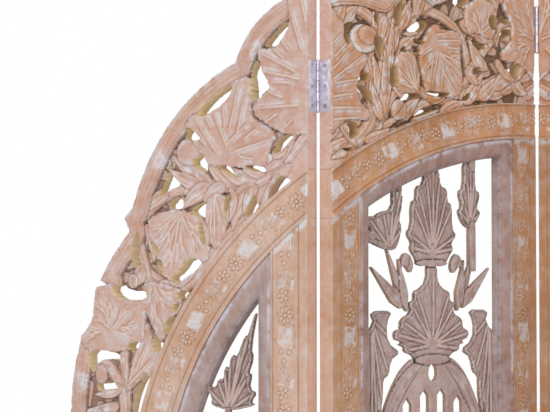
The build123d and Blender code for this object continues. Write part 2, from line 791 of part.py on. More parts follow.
def hinge_leaves(panel, joint, name, owner, edge):
    """The leaves and screws of one joint on one panel's edge, with the knuckles that belong to them."""
    axis_s = edge.pin_s()
    levels = hinge_levels(axis_s)
    pin_z = edge.face_z - edge.inward * pin_offset
    far_z = edge.face_z + edge.inward * hinge_leaf_width
    plate_s = (edge.depth(pocket_depth), edge.depth(screw_head_height))
    with BuildPart() as leaves:
        for centre in levels:
            bar(panel, plate_s, (edge.face_z, far_z), centre - hinge_height / 2, hinge_height)
            for start, end in knuckle_limits(owner):
                level = centre + start
                bar(panel, plate_s, (pin_z, edge.face_z), level, end - start)
                axis_round(panel, axis_s, pin_z, level, end - start, knuckle_radius, knuckle_sides)
                axis_round(
                    panel, axis_s, pin_z, level, end - start, pin_radius + pin_clearance,
                    bore_sides, Mode.SUBTRACT,
                )
    save(leaves, f"{joint}_{name}_leaves")
    screw_z = (edge.face_z + far_z) / 2
    with BuildPart() as screws:
        for centre in levels:
            for i in range(screw_count):
                level = centre + (i - (screw_count - 1) / 2) * screw_spacing
                seat = Plane(
                    origin=panel.at(plate_s[1], screw_z) + Vector(0, 0, level),
                    x_dir=(0, 0, 1),
                    z_dir=panel.along * edge.turn,
                )
                with BuildSketch(seat):
                    RegularPolygon(screw_head_radius, screw_sides)
                extrude(amount=screw_head_height)
    save(screws, f"{joint}_{name}_screws")


def axis_round(panel, s, z, low, height, radius, sides, mode=Mode.ADD):
    """An upright bar or bore on a panel's pin axis, with flats that touch a circle."""
    centre = panel.at(s, z)
    with BuildSketch(Plane.XY.offset(low)) as section:
        with Locations((centre.X, centre.Y)):
            RegularPolygon(radius, sides, major_radius=False)
    extrude(section.sketch, amount=height, mode=mode)


def hinge_pins(joint, panel, s, z):
    """The pins of one joint."""
    with BuildPart() as pins:
        for centre in hinge_levels(s):
            low = centre - hinge_height / 2 - pin_overhang
            length = hinge_height + 2 * pin_overhang
            axis_round(panel, s, z, low, length, pin_radius * cos(pi / bore_sides), bore_sides)
    save(pins, f"{joint}_pins")


# ---------------------------------------------------------------- assembly
# The centre hinge stands in front of the panels and the side hinges stand behind them.
centre_edge = HingedEdge(inner_low, -1, panel_thickness, -1)
side_edge = HingedEdge(inner_high, 1, 0, 1)
outer_edge = HingedEdge(outer_low, -1, 0, 1)

for number in (2, 3):
    inner = panels[number]
    edges = (centre_edge, side_edge)
    opening = frame(inner, inner_low, inner_high, "centre_stile", "hinge_stile", edges)
    moulding(inner, opening)
    inner_jali(inner, opening)
    crest(inner, inner_low, inner_high, inner_crest_holes, edges)

for number in (1, 4):
    outer = panels[number]
    edges = (outer_edge,)
    opening = frame(outer, outer_low, sea_s, "hinge_stile", "outer_stile", edges)
    moulding(outer, opening)
    outer_jali(outer, opening)
    crest(outer, outer_low, sea_s, outer_crest_holes, edges)
    side_border(outer)

for joint, first, second in (("hinge_1", 1, 2), ("hinge_3", 4, 3)):
    hinge_leaves(panels[first], joint, "outer", 0, outer_edge)
    hinge_leaves(panels[second], joint, "inner", 1, side_edge)
    hinge_pins(joint, panels[second], hinge_pitch, -pin_offset)
hinge_leaves(panels[2], "hinge_2", "left", 0, centre_edge)
hinge_leaves(panels[3], "hinge_2", "right", 1, centre_edge)
hinge_pins("hinge_2", panels[2], 0, front_pin)
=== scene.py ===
"""Looks of a folding screen of carved, pierced and lime-washed mango wood.

Each carved board is a height field over the panel's own coordinates: s runs along the panels from the
screen's centre line and v runs up from the springing line of the arch, both in millimetres. The two
halves of the screen mirror each other, so a board is carved once and laid on a left and a right panel.
"""

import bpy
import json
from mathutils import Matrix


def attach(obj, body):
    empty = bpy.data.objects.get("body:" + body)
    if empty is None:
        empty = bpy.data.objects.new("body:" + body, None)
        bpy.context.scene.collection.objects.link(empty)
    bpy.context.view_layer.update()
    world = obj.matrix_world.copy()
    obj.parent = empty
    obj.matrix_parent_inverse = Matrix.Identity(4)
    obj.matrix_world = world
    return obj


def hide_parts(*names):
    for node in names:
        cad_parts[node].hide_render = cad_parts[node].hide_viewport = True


bl_info = {
    "name": "Carved Folding Screen",
    "version": (1, 0, 0),
    "blender": (4, 5, 0),
    "location": "View3D > Sidebar > Screen",
    "description": "Builds the carved boards, hinges, finishes and studio of a folding screen",
    "category": "Object",
}

import json
import math

import bmesh
import bpy
import numpy as np
from bpy.props import FloatProperty, FloatVectorProperty, PointerProperty
from bpy.types import Operator, Panel, PropertyGroup
from mathutils import Vector
from mathutils.geometry import delaunay_2d_cdt

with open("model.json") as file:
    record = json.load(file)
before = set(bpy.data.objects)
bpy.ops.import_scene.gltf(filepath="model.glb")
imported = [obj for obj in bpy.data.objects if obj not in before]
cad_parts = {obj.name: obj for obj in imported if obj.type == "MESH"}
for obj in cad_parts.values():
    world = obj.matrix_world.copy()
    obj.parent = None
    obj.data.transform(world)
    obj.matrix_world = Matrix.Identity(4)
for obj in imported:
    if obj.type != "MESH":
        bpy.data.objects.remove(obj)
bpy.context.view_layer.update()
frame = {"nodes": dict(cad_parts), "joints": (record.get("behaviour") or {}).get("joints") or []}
MM = 0.001

# ---------------------------------------------------------------- sizes shared with the CAD model, mm
PANEL_WIDTH = 508.0
PANEL_THICKNESS = 25.4
SPRINGING = 914.4
FOLD = math.radians(41.6)
ARCH_SPAN, ARCH_RISE = 852.0, 650.0
OUTER_STILE, ARCH_CROWN, ARCH_PROUD = 71.0, 58.0, 1.2
STILE, OUTER_HINGE_STILE = 62.0, 66.8
GLUE = 0.3
FOOT, BOTTOM_RAIL = 60.0, 95.0
MOULDING = 30.0
JALI_BACK, JALI_FRONT = 3.4, 12.0
JALI_EDGE = 24.2
CREST_BACK, CREST_FRONT = 0.0, 24.6
RIM = 30.0
EDGE_GAP, PIN_OFFSET = 0.4, 3.0
PITCH = PANEL_WIDTH + 2 * EDGE_GAP
INNER = (EDGE_GAP, EDGE_GAP + PANEL_WIDTH)
OUTER_LOW = PITCH + EDGE_GAP
BORDER_HIGH = 990.0
FLOOR_V = -SPRINGING
RAIL_LOW = FLOOR_V + FOOT
RAIL_TOP = RAIL_LOW + BOTTOM_RAIL
SKY = 1300.0
INNER_BAY = (INNER[0] + STILE, INNER[1] - STILE)
OUTER_BAY = (OUTER_LOW + OUTER_HINGE_STILE, ARCH_SPAN - OUTER_STILE)
FAR = 99.0
ON_LINE = 0.01  # added to a straight border's distance, so that the grid line on it is kept


# ---------------------------------------------------------------- panels in space
class PanelPlace:
    """Where a panel stands: maps (s, v, z) in mm, z from the panel's back face, to metres."""

    def __init__(self, side, heading, hinge_s, hinge_z, hinge_at):
        self.side = side
        self.along = np.array([side * math.cos(heading), math.sin(heading)])
        self.front = np.array([side * math.sin(heading), -math.cos(heading)])
        self.corner = np.array(hinge_at) - self.along * hinge_s - self.front * hinge_z

    def at(self, s, v, z):
        """World coordinates as an (n, 3) array: corner + s along + z front, with v upwards."""
        s, v, z = (np.ravel(a) for a in np.broadcast_arrays(s, v, z))
        plan = self.corner + np.outer(s, self.along) + np.outer(z, self.front)
        return np.column_stack([plan, v + SPRINGING]) * MM


def stand_panels():
    """The four panels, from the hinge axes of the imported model."""
    axes = {j["name"]: np.array(j["pos_m"][:2]) / MM for j in frame["joints"]}
    places = {}
    for side, inner, outer, joint in ((-1, 2, 1, "hinge_1"), (1, 3, 4, "hinge_3")):
        places[inner] = PanelPlace(side, -FOLD, 0, PANEL_THICKNESS + PIN_OFFSET, axes["hinge_2"])
        places[outer] = PanelPlace(side, FOLD, PITCH, -PIN_OFFSET, axes[joint])
    return places


PLACES = stand_panels()


# ---------------------------------------------------------------- outlines
def turned(points, middle):
    """An outline turned over about the line s = middle."""
    return [(2 * middle - s, v) for s, v in reversed(points)]


def moved(points, ds, dv):
    """An outline moved by ds and dv."""
    return [(s + ds, v + dv) for s, v in points]


def rounded(points, passes=1, closed=True):
    """Chaikin's corner cutting: each corner gives way to points a quarter along its two sides."""
    p = np.asarray(points, float)
    for _ in range(passes):
        if closed:
            nxt = np.roll(p, -1, axis=0)
            p = np.stack([0.75 * p + 0.25 * nxt, 0.25 * p + 0.75 * nxt], 1).reshape(-1, 2)
        else:
            a, b = p[:-1], p[1:]
            inner = np.stack([0.75 * a + 0.25 * b, 0.25 * a + 0.75 * b], 1).reshape(-1, 2)
            p = np.vstack([p[:1], inner, p[-1:]])
    return p


def palmate(base, tips, notch):
    """A lobed leaf: a point at each lobe's tip and a notch between two lobes."""
    s0, v0 = base
    points = [base]
    for (s1, v1), (s2, v2) in zip(tips, tips[1:]):
        points.append((s1, v1))
        ms, mv = (s1 + s2) / 2, (v1 + v2) / 2
        points.append((s0 + (ms - s0) * notch, v0 + (mv - v0) * notch))
    points.append(tips[-1])
    return points


def fan(base, tips, side_cuts=True):
    """The cuts of a leaf whose veins spread from its base: one to near each tip, every other one
    starting further out, and short cuts that branch off them on alternate sides."""
    cuts = []
    for i, tip in enumerate(tips):
        ds, dv = tip[0] - base[0], tip[1] - base[1]
        start = 0.36 if i % 2 else 0.12
        cuts.append(((base[0] + start * ds, base[1] + start * dv), (base[0] + 0.9 * ds, base[1] + 0.9 * dv)))
        if side_cuts:
            for foot, turn in ((0.46, 0.42), (0.62, -0.42)):
                turn = turn if i % 2 else -turn
                at = (base[0] + foot * ds - 0.05 * turn * dv, base[1] + foot * dv + 0.05 * turn * ds)
                cuts.append((at, (at[0] + 0.26 * (ds - turn * dv), at[1] + 0.26 * (dv + turn * ds))))
    return cuts


def both_halves(half, middle):
    """A closed symmetric outline from its half, given as distances from the middle line."""
    right = [(middle + d, v) for d, v in half]
    return right + [(middle - d, v) for d, v in reversed(half) if d > 0]


def both_sides(half):
    """The tips of a symmetric leaf from left to right, given from its top down the right side."""
    return [(-d, v) for d, v in reversed(half[1:])] + half


def inside_outline(s, v, outline):
    """Distance inside a closed outline in mm: the least distance to an edge, negative outside."""
    p = np.asarray(outline, float)
    nearest = np.full(s.shape, np.inf)
    within = np.zeros(s.shape, bool)
    for (s0, v0), (s1, v1) in zip(p, np.roll(p, -1, axis=0)):
        _, off_s, off_v = nearest_on(s, v, (s0, v0), (s1, v1))
        nearest = np.minimum(nearest, off_s**2 + off_v**2)
        if v1 != v0:
            within ^= ((v0 > v) != (v1 > v)) & (s < (s1 - s0) * (v - v0) / (v1 - v0) + s0)
    return np.where(within, 1.0, -1.0) * np.sqrt(nearest)


def inside_ellipse(s, v, half_span, rise):
    """Distance inside an ellipse about the origin, as its implicit value over its slope."""
    value = 1 - (s / half_span) ** 2 - (v / rise) ** 2
    slope = 2 * np.hypot(s / half_span**2, v / rise**2) + 1e-9
    return value / slope


def nearest_on(s, v, start, end):
    """The share of the way along a line where it comes nearest, and the distance there in s and v."""
    ds, dv = end[0] - start[0], end[1] - start[1]
    t = np.clip(((s - start[0]) * ds + (v - start[1]) * dv) / (ds * ds + dv * dv + 1e-9), 0, 1)
    return t, s - start[0] - t * ds, v - start[1] - t * dv


def beside_line(s, v, base, tip):
    """The share of the way from base to tip, the signed distance beside that line, and its length."""
    length = math.dist(base, tip)
    us, uv = (tip[0] - base[0]) / length, (tip[1] - base[1]) / length
    return (((s - base[0]) * us + (v - base[1]) * uv) / length,
            (s - base[0]) * uv - (v - base[1]) * us, length)


def box(s_low, s_high, v_low, v_high):
    """The outline of an upright rectangle."""
    return [(s_low, v_low), (s_high, v_low), (s_high, v_high), (s_low, v_high)]


def step_up(x, low, high):
    """Smooth step from 0 at low to 1 at high."""
    t = np.clip((x - low) / (high - low), 0, 1)
    return t * t * (3 - 2 * t)


def bell(x, width):
    """A bell curve: e to the minus square of x over the width."""
    return np.exp(-((x / width) ** 2))


def ripple(s, v, size, seed):
    """Soft uneven waves between -1 and 1, a sum of sines of about one wavelength, in mm."""
    total = 0
    for i in range(4):
        angle = seed + i * 2.4
        k = 2 * math.pi / size * (0.8 + 0.17 * i)
        total = total + np.sin(k * (s * math.cos(angle) + v * math.sin(angle)) + 3 * seed + i)
    return total / 4


# ---------------------------------------------------------------- the carved board
class Board:
    """A flat board being carved: grids of depth inside the pierced shape, level, and four marks:
    pale cuts, which also carry painted highlights on some arrises and ridges; lime that stays in hollows and
    on arrises, which also carries painted highlights on some sides and crowns; dark, a painted shade in
    lines, stop-cuts and deep ground; and brown stains, which also carry painted shade on one side of some
    leaves, blades and mouldings. Strokes is how strongly the tool marks along the blades and stems show."""

    def __init__(self, s_lines, v_lines, ground, ground_shade=0.0, strokes=0.4):
        self.strokes = strokes
        self.s_lines, self.v_lines = s_lines, v_lines
        self.s, self.v = np.meshgrid(s_lines, v_lines, indexing="ij")
        self.inside = np.full(self.s.shape, FAR)
        self.border = np.full(self.s.shape, FAR)
        self.level = np.full(self.s.shape, float(ground))
        self.pale = np.zeros(self.s.shape)
        self.lime = np.zeros(self.s.shape)
        # dark starts at the ground's painted shade, so that the deep ground reads as lying in shadow
        self.dark = np.full(self.s.shape, ground_shade)
        self.stain_and_shade = np.zeros(self.s.shape)

    def window(self, points, margin):
        """The slices of the grid that hold some points and a margin."""
        p = np.asarray(points, float)
        low, high = p.min(0) - margin, p.max(0) + margin
        i = np.searchsorted(self.s_lines, (low[0], high[0]))
        j = np.searchsorted(self.v_lines, (low[1], high[1]))
        return slice(i[0], i[1]), slice(j[0], j[1])

    def keep(self, inside):
        """Keeps what is inside a shape, which becomes part of the board's own border."""
        self.inside = np.minimum(self.inside, inside)
        self.border = np.minimum(self.border, inside)

    def pierce(self, hole):
        """Cuts a hole with slightly rounded, hand-sawn corners."""
        w = self.window(hole, 30)
        s, v = self.s[w], self.v[w]
        self.inside[w] = np.minimum(self.inside[w], -inside_outline(s, v, rounded(hole)))

    def add_solid(self, outline):
        """Joins a solid shape to what is kept."""
        w = self.window(outline, 30)
        s, v = self.s[w], self.v[w]
        self.inside[w] = np.maximum(self.inside[w], inside_outline(s, v, outline))

    def stain_at(self, centre, radii, amount):
        """A brown patch that fades with the square of the distance from its centre."""
        far = ((self.s - centre[0]) / radii[0]) ** 2 + ((self.v - centre[1]) / radii[1]) ** 2
        self.stain_and_shade = np.maximum(self.stain_and_shade, amount * np.exp(-far))

    def lay(self, w, inside, level, pale=0.0, dark=0.0, lime=0.0, cut=1.6):
        """Lays an element on the board, with a narrow stop-cut round its edge, painted with shade."""
        on = inside > 0
        groove = bell(inside, 1.7) * ~on
        self.level[w] = np.where(on, level, self.level[w] - cut * groove)
        self.pale[w] = np.where(on, pale, self.pale[w] * (1 - groove))
        self.lime[w] = np.where(on, lime, self.lime[w] * (1 - groove))
        self.dark[w] = np.where(on, dark, np.maximum(self.dark[w], groove))

    def leaf(self, outline, veins, top, lime=0.95):
        """A flat, veined leaf of the crest. Each vein is a slightly wavy V-cut from one point to
        another, with painted shade on one side and a painted highlight on the other, and the surface falls a
        little from it to half-way to the next one."""
        shape = rounded(outline, 1)
        w = self.window(shape, 5)
        s, v = self.s[w], self.v[w]
        inside = inside_outline(s, v, shape) + 1.6 * ripple(s, v, 10, outline[0][0])
        rib = np.full(s.shape, FAR)
        near = np.full(s.shape, FAR)
        signed = np.full(s.shape, FAR)
        for base, tip in veins:
            t, beside, length = beside_line(s, v, base, tip)
            beside = beside + 0.8 * np.sin(3 * t + length)
            off = np.abs(beside)
            signed = np.where((off < rib) & (t > 0) & (t < 1), beside, signed)
            taper = np.clip(1.25 - 0.5 * t, 0.6, 1.3)
            rib = np.minimum(rib, np.where((t > 0) & (t < 1), off / taper, FAR))
            near = np.minimum(near, np.where(t > -0.2, off, FAR))
        edge = step_up(inside, 0, 3.0)
        vein = bell(rib, 1.05)
        # a line of painted shade beside each vein
        shade = bell(rib - 2.5, 0.8) * (0.7 + 0.9 * self.strokes)
        level = top - 2.2 + 2.2 * edge - 1.2 * vein + 0.8 * np.cos(np.clip(near, 0, 8) / 8 * math.pi)
        worn = bell(inside, 3.0) * step_up(ripple(s, v, 17, outline[0][1]), -0.3, 0.3)
        # Painted shade on one side of each vein goes into the brown mark, and a painted highlight on the
        # other side into the lime; the lime on the worn edge is wash.
        under = bell(signed - 4.0, 2.2) * (0.35 + 0.3 * self.strokes)
        over = bell(signed + 4.5, 2.4) * 0.55
        self.lay(w, inside, level, vein, 0.4 * shade, np.maximum(lime * worn, over))
        self.stain_and_shade[w] = np.where(inside > 0, under, self.stain_and_shade[w])

    def ribbed(self, base, tips, top, outline):
        """A leaf of the jali: a raised rib to each tip between two scribed lines, and a scribed line
        inside its edge."""
        shape = rounded(outline, 1)
        w = self.window(shape, 5)
        s, v = self.s[w], self.v[w]
        inside = inside_outline(s, v, shape) + 0.5 * ripple(s, v, 7, base[0])
        reach = np.hypot(s - base[0], v - base[1]) / max(math.dist(base, tip) for tip in tips)
        rib = np.full(s.shape, FAR)
        branch = np.full(s.shape, FAR)
        for tip in tips:
            t, beside, length = beside_line(s, v, base, tip)
            off = np.abs(beside)
            rib = np.minimum(rib, np.where((t > 0.12) & (t < 0.9), off, FAR))
            slant = np.abs(off - 0.30 * (t - 0.45) * length)
            branch = np.minimum(branch, np.where((t > 0.5) & (t < 0.86), slant, FAR))
        edge = step_up(inside, 0, 3.5)
        bowl = -1.6 * bell(reach, 0.22)
        ridge = bell(rib, 1.7)
        line = bell(rib - 3.6, 0.9) * (inside > 3)
        fine = bell(branch, 0.8) * (reach > 0.25)
        rim_line = bell(inside - 3.6, 0.9)
        level = top - 2.2 + 2.2 * edge + bowl + ridge - 1.2 * line - 0.8 * rim_line - 0.6 * fine
        rim = bell(inside, 2.6)
        # Pale on the rib's ridge and along the edge is a painted highlight, dark in the scribed lines is
        # painted shade, and the lime along the edge is wash.
        self.lay(w, inside, level, np.clip(0.8 * ridge + 0.5 * rim, 0, 1),
                 np.clip(0.8 * line + 0.7 * rim_line + 0.5 * fine, 0, 1), 0.4 * rim)

    def blade(self, base, tip, width, top, bend=0.0, gouge=1.6, crown=2.0, lime=0.75):
        """A slender leaf with a hollow gouged along it. Across it, the level is the crown less the
        gouge, which fades as the square of the distance from the bent centre line."""
        ds, dv = tip[0] - base[0], tip[1] - base[1]
        length = math.hypot(ds, dv)
        w = self.window([base, tip], width + abs(bend) + 6)
        s, v = self.s[w] - base[0], self.v[w] - base[1]
        t = (s * ds + v * dv) / length**2
        off = (v * ds - s * dv) / length - bend * 4 * t * (1 - t)
        half = width / 2 * np.sin(math.pi * np.clip(t, 0, 1) ** 0.62) ** 0.8
        inside = np.minimum(half - np.abs(off), np.minimum(t, 1 - t) * length)
        across = off / (half + 1e-6)
        hollow = np.clip(1 - (across - 0.15) ** 2 / 0.55, 0, 1)
        hollow = hollow * step_up(t, 0.08, 0.35) * step_up(1 - t, 0, 0.2)
        level = top - crown + crown * step_up(inside, 0, 2.2) - gouge * hollow
        along = step_up(t, 0.06, 0.3)
        line = bell(across + 0.62, 0.10) * along
        fine = bell(across + 0.14, 0.09) * along * self.strokes
        scribed = (bell(across - 0.42, 0.08) + bell(across + 0.40, 0.07)) * along
        patchy = step_up(ripple(s + base[0], v + base[1], 23, base[0] + base[1]), -0.35, 0.35)
        level = level - 0.5 * line - 0.4 * fine - 0.6 * scribed * self.strokes
        # A painted highlight along the arrises, and painted shade on one side of the blade.
        arris = 0.6 * bell(inside - 1.3, 0.8) * along * self.strokes
        browner = 0.6 * bell(across - 0.45, 0.28) * along * (0.3 + 0.7 * self.strokes)
        self.stain_and_shade[w] = np.where(inside > 0, browner * (1 - patchy), self.stain_and_shade[w])
        # Dark along one edge and in the scribed lines is painted shade; the lime stays in the hollow.
        self.lay(w, inside, level, 0.8 * line + 0.8 * fine + arris,
                 np.clip(0.2 * (across > 0.86) + 0.75 * scribed * self.strokes, 0, 1), lime * hollow * patchy)

    def stem(self, path, widths, top, crown=2.6, pale=0.25):
        """A round stem along a smoothed path, with two cuts along it. Its level is a half-round."""
        p = rounded(path, 2, closed=False)
        share = np.linspace(0, 1, len(p))
        r = np.interp(share, np.linspace(0, 1, len(widths)), widths) / 2
        w = self.window(p, max(widths) + 4)
        s, v = self.s[w], self.v[w]
        inside = np.full(s.shape, -FAR)
        size = np.ones(s.shape)
        side = np.zeros(s.shape)
        for i in range(len(p) - 1):
            (s0, v0), (s1, v1) = p[i], p[i + 1]
            t, off_s, off_v = nearest_on(s, v, (s0, v0), (s1, v1))
            radius = r[i] + (r[i + 1] - r[i]) * t
            here = radius - np.hypot(off_s, off_v)
            nearer = here > inside
            size = np.where(nearer, radius, size)
            side = np.where(nearer, np.sign((v - v0) * (s1 - s0) - (s - s0) * (v1 - v0)), side)
            inside = np.maximum(inside, here)
        across = (1 - inside / size) * side
        round_up = np.sqrt(np.clip(1 - across**2, 0, 1))
        cuts = bell(across - 0.35, 0.10) + bell(across + 0.45, 0.09)
        lines = bell(across + 0.08, 0.08) + bell(across - 0.7, 0.07)
        level = top - crown + crown * round_up - 0.5 * cuts - 0.5 * lines * self.strokes
        patchy = step_up(ripple(s, v, 31, path[0][0]), 0.0, 0.5)
        # Dark in the cuts and lines is painted shade; the lime, strongest on the crown, is wash in patches
        # and also a painted highlight.
        self.lay(w, inside, level, (pale + 0.5 * self.strokes) * cuts,
                 0.12 * cuts + 0.6 * lines * self.strokes,
                 0.5 * patchy * round_up**2)

    def undergrowth(self, low, high, spacing, top, seed):
        """Fills the deep ground with rows of small blades, whose direction turns smoothly from place
        to place: its angle is a plane wave of s and v."""
        count = int((high[0] - low[0]) / spacing), int((high[1] - low[1]) / spacing)
        for i in range(count[0] + 1):
            for j in range(count[1] + 1):
                s = low[0] + (i + 0.5 * (j % 2)) * spacing
                v = low[1] + j * spacing
                turn = seed + 1.9 * math.sin(s / 83 + seed) + 1.7 * math.cos(v / 71 - s / 190)
                reach = spacing * (1.25 + 0.2 * math.sin(7 * i + 3 * j))
                tip = (s + reach * math.cos(turn), v + reach * math.sin(turn))
                self.blade((s, v), tip, spacing * 0.56, top, 4 * math.sin(5 * i + j), 1.2, 1.6, 0.35)

    def bud(self, centre, radii, top, crown=4.0, seam=None, pale=0.2):
        """A domed bud: a half ellipsoid, with an optional seam line through its centre."""
        w = self.window([centre], max(radii) + 5)
        s, v = (self.s[w] - centre[0]) / radii[0], (self.v[w] - centre[1]) / radii[1]
        q = np.hypot(s, v)
        inside = (1 - q) * min(radii)
        level = top - crown + crown * np.sqrt(np.clip(1 - q**2, 0, 1))
        dark = np.zeros(s.shape)
        if seam is not None:
            off = np.abs(s * math.cos(seam) + v * math.sin(seam)) * min(radii)
            dark = bell(off, 1.0)
            level = level - 1.0 * dark
        # The seam is dark with painted shade.
        self.lay(w, inside, level, 0, 0.8 * dark, pale * step_up(q, 0.45, 0.95))


def pulled_grid(board):
    """The grid's places, with corners outside the shape pulled to its edge along the slope."""
    slope_s, slope_v = np.gradient(board.inside, board.s_lines, board.v_lines)
    steep = np.maximum(slope_s**2 + slope_v**2, 0.3)
    step = min(np.min(np.diff(board.s_lines)), np.min(np.diff(board.v_lines)))
    pull = np.where(board.inside < 0, np.clip(-board.inside, 0, 1.5 * step), 0) / steep
    return board.s + pull * slope_s, board.v + pull * slope_v


def kept_cells(inside):
    """Faces of the grid cells with a corner inside the shape, and the edges of their border."""
    corner = inside > 0
    kept = corner[:-1, :-1] | corner[1:, :-1] | corner[:-1, 1:] | corner[1:, 1:]
    index = np.arange(inside.size).reshape(inside.shape)
    a, b, c, d = index[:-1, :-1], index[1:, :-1], index[1:, 1:], index[:-1, 1:]
    pad = np.pad(kept, 1)
    edges = []
    for beside, first, second in ((pad[1:-1, :-2], a, b), (pad[2:, 1:-1], b, c),
                                  (pad[1:-1, 2:], c, d), (pad[:-2, 1:-1], d, a)):
        border = kept & ~beside
        edges.append(np.column_stack([first[border], second[border]]))
    return np.column_stack([a[kept], b[kept], c[kept], d[kept]]), np.vstack(edges)


def back_fill(board, rim_s, rim_v, rim_edges):
    """Triangles that fill the border's outline, their points, and each point's own place in the
    border or -1. A triangle stays where the shape is, by the distance inside read at its middle."""
    s_lines, v_lines, inside = board.s_lines, board.v_lines, board.inside
    fill = delaunay_2d_cdt([Vector(p) for p in zip(rim_s, rim_v)], rim_edges.tolist(), [], 0, 1e-5)
    flat = np.array([tuple(p) for p in fill[0]])
    origin = np.array([o[0] if o else -1 for o in fill[3]])
    triangles = np.array([f for f in fill[2] if len(f) == 3])
    mid = flat[triangles].mean(1)
    i = np.clip(np.searchsorted(s_lines, mid[:, 0]) - 1, 0, len(s_lines) - 2)
    j = np.clip(np.searchsorted(v_lines, mid[:, 1]) - 1, 0, len(v_lines) - 2)
    fs = (mid[:, 0] - s_lines[i]) / (s_lines[i + 1] - s_lines[i])
    fv = (mid[:, 1] - v_lines[j]) / (v_lines[j + 1] - v_lines[j])
    depth = (inside[i, j] * (1 - fs) * (1 - fv) + inside[i + 1, j] * fs * (1 - fv)
             + inside[i, j + 1] * (1 - fs) * fv + inside[i + 1, j + 1] * fs * fv)
    triangles = triangles[depth > 0]
    area = np.cross(flat[triangles[:, 1]] - flat[triangles[:, 0]],
                    flat[triangles[:, 2]] - flat[triangles[:, 0]])
    return np.where((area > 0)[:, None], triangles[:, ::-1], triangles), flat, origin


def face_mesh(name, coords, quads, tris):
    """A mesh of four-sided and three-sided faces."""
    mesh = bpy.data.meshes.new(name)
    mesh.vertices.add(len(coords))
    mesh.vertices.foreach_set("co", coords.ravel())
    loops = np.concatenate([quads.ravel(), tris.ravel()])
    starts = np.concatenate([np.arange(len(quads)) * 4, len(quads) * 4 + np.arange(len(tris)) * 3])
    mesh.loops.add(len(loops))
    mesh.loops.foreach_set("vertex_index", loops)
    mesh.polygons.add(len(starts))
    mesh.polygons.foreach_set("loop_start", starts)
    mesh.update(calc_edges=True)
    return mesh


def write_mark(mesh, key, values, domain="POINT"):
    """Stores one value for each point or face under a name that the materials read."""
    mesh.attributes.new(key, "FLOAT", domain).data.foreach_set("value", values.astype(np.float32))


def wood_mesh(name, place, board, z_back):
    """Makes the mesh of a carved board. A grid cell is kept where a corner is inside the shape. The
    border is carried straight back, and the back is a flat fill of the border."""
    faces, edges = kept_cells(board.inside)
    used, packed = np.unique(faces, return_inverse=True)
    faces = packed.reshape(faces.shape)
    lookup = np.full(board.inside.size, -1)
    lookup[used] = np.arange(len(used))
    edges = lookup[edges]
    rim, rim_packed = np.unique(edges, return_inverse=True)
    rim_edges = rim_packed.reshape(edges.shape)
    s, v = (a.ravel()[used] for a in pulled_grid(board))
    level = board.level.ravel()[used]
    count = len(used)
    triangles, flat, origin = back_fill(board, s[rim], v[rim], rim_edges)
    extra = np.flatnonzero(origin < 0)
    back_index = np.where(origin >= 0, count + origin, 0)
    back_index[extra] = count + len(rim) + np.arange(len(extra))
    walls = np.column_stack([edges[:, 1], edges[:, 0], count + rim_edges[:, 0], count + rim_edges[:, 1]])
    all_s = np.concatenate([s, s[rim], flat[extra, 0]])
    all_v = np.concatenate([v, v[rim], flat[extra, 1]])
    all_z = np.concatenate([level, np.full(len(rim) + len(extra), z_back)])
    order = slice(None, None, 1 if place.side > 0 else -1)
    quads = np.vstack([faces, walls])[:, order]
    tris = back_index[triangles][:, order]
    mesh = face_mesh(name, place.at(all_s, all_v, all_z), quads, tris)
    tail = np.zeros(len(all_s) - count)
    for key in ("pale", "dark", "lime", "stain_and_shade"):
        write_mark(mesh, key, np.concatenate([getattr(board, key).ravel()[used], tail]))
    write_mark(mesh, "sunk", np.concatenate([level.max() - level, tail]) * MM)
    wall = np.zeros(len(quads) + len(tris))
    inner = board.border.ravel()[used][rim] > 2.5
    wall[len(faces) : len(quads)] = 0.5 + 0.5 * inner[rim_edges].all(1)
    write_mark(mesh, "wall", wall, "FACE")
    grain = np.column_stack([all_s, all_v, all_z]) * MM
    layer = mesh.attributes.new("grain", "FLOAT_VECTOR", "POINT")
    layer.data.foreach_set("vector", grain.astype(np.float32).ravel())
    mesh.polygons.foreach_set("use_smooth", np.ones(len(wall), bool))
    mesh.validate()
    mesh.set_sharp_from_angle(angle=math.radians(55))
    return mesh


def place_piece(mesh, body, replaced, material):
    """Links a finished mesh as a piece of a body that stands for CAD nodes."""
    piece = bpy.data.objects.new(mesh.name, mesh)
    bpy.context.scene.collection.objects.link(piece)
    mesh.materials.append(material)
    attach(piece, body)
    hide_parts(*replaced)
    return piece


def lines(low, high, step):
    """Evenly spaced grid lines from low to high."""
    return np.linspace(low, high, max(2, round((high - low) / step) + 1))


def graded_lines(low, split, high, coarse, fine):
    """Grid lines that are coarse below split and fine above it."""
    return np.concatenate([lines(low, split, coarse)[:-1], lines(split, high, fine)])


def arch_inset(s, v, inset):
    """Distance inside the arch rail's inner edge less an inset, upright below the springing line."""
    half_span = ARCH_SPAN - OUTER_STILE - inset
    rise = ARCH_RISE - ARCH_CROWN - inset
    return np.where(v > 0, inside_ellipse(s, v, half_span, rise), half_span - s)


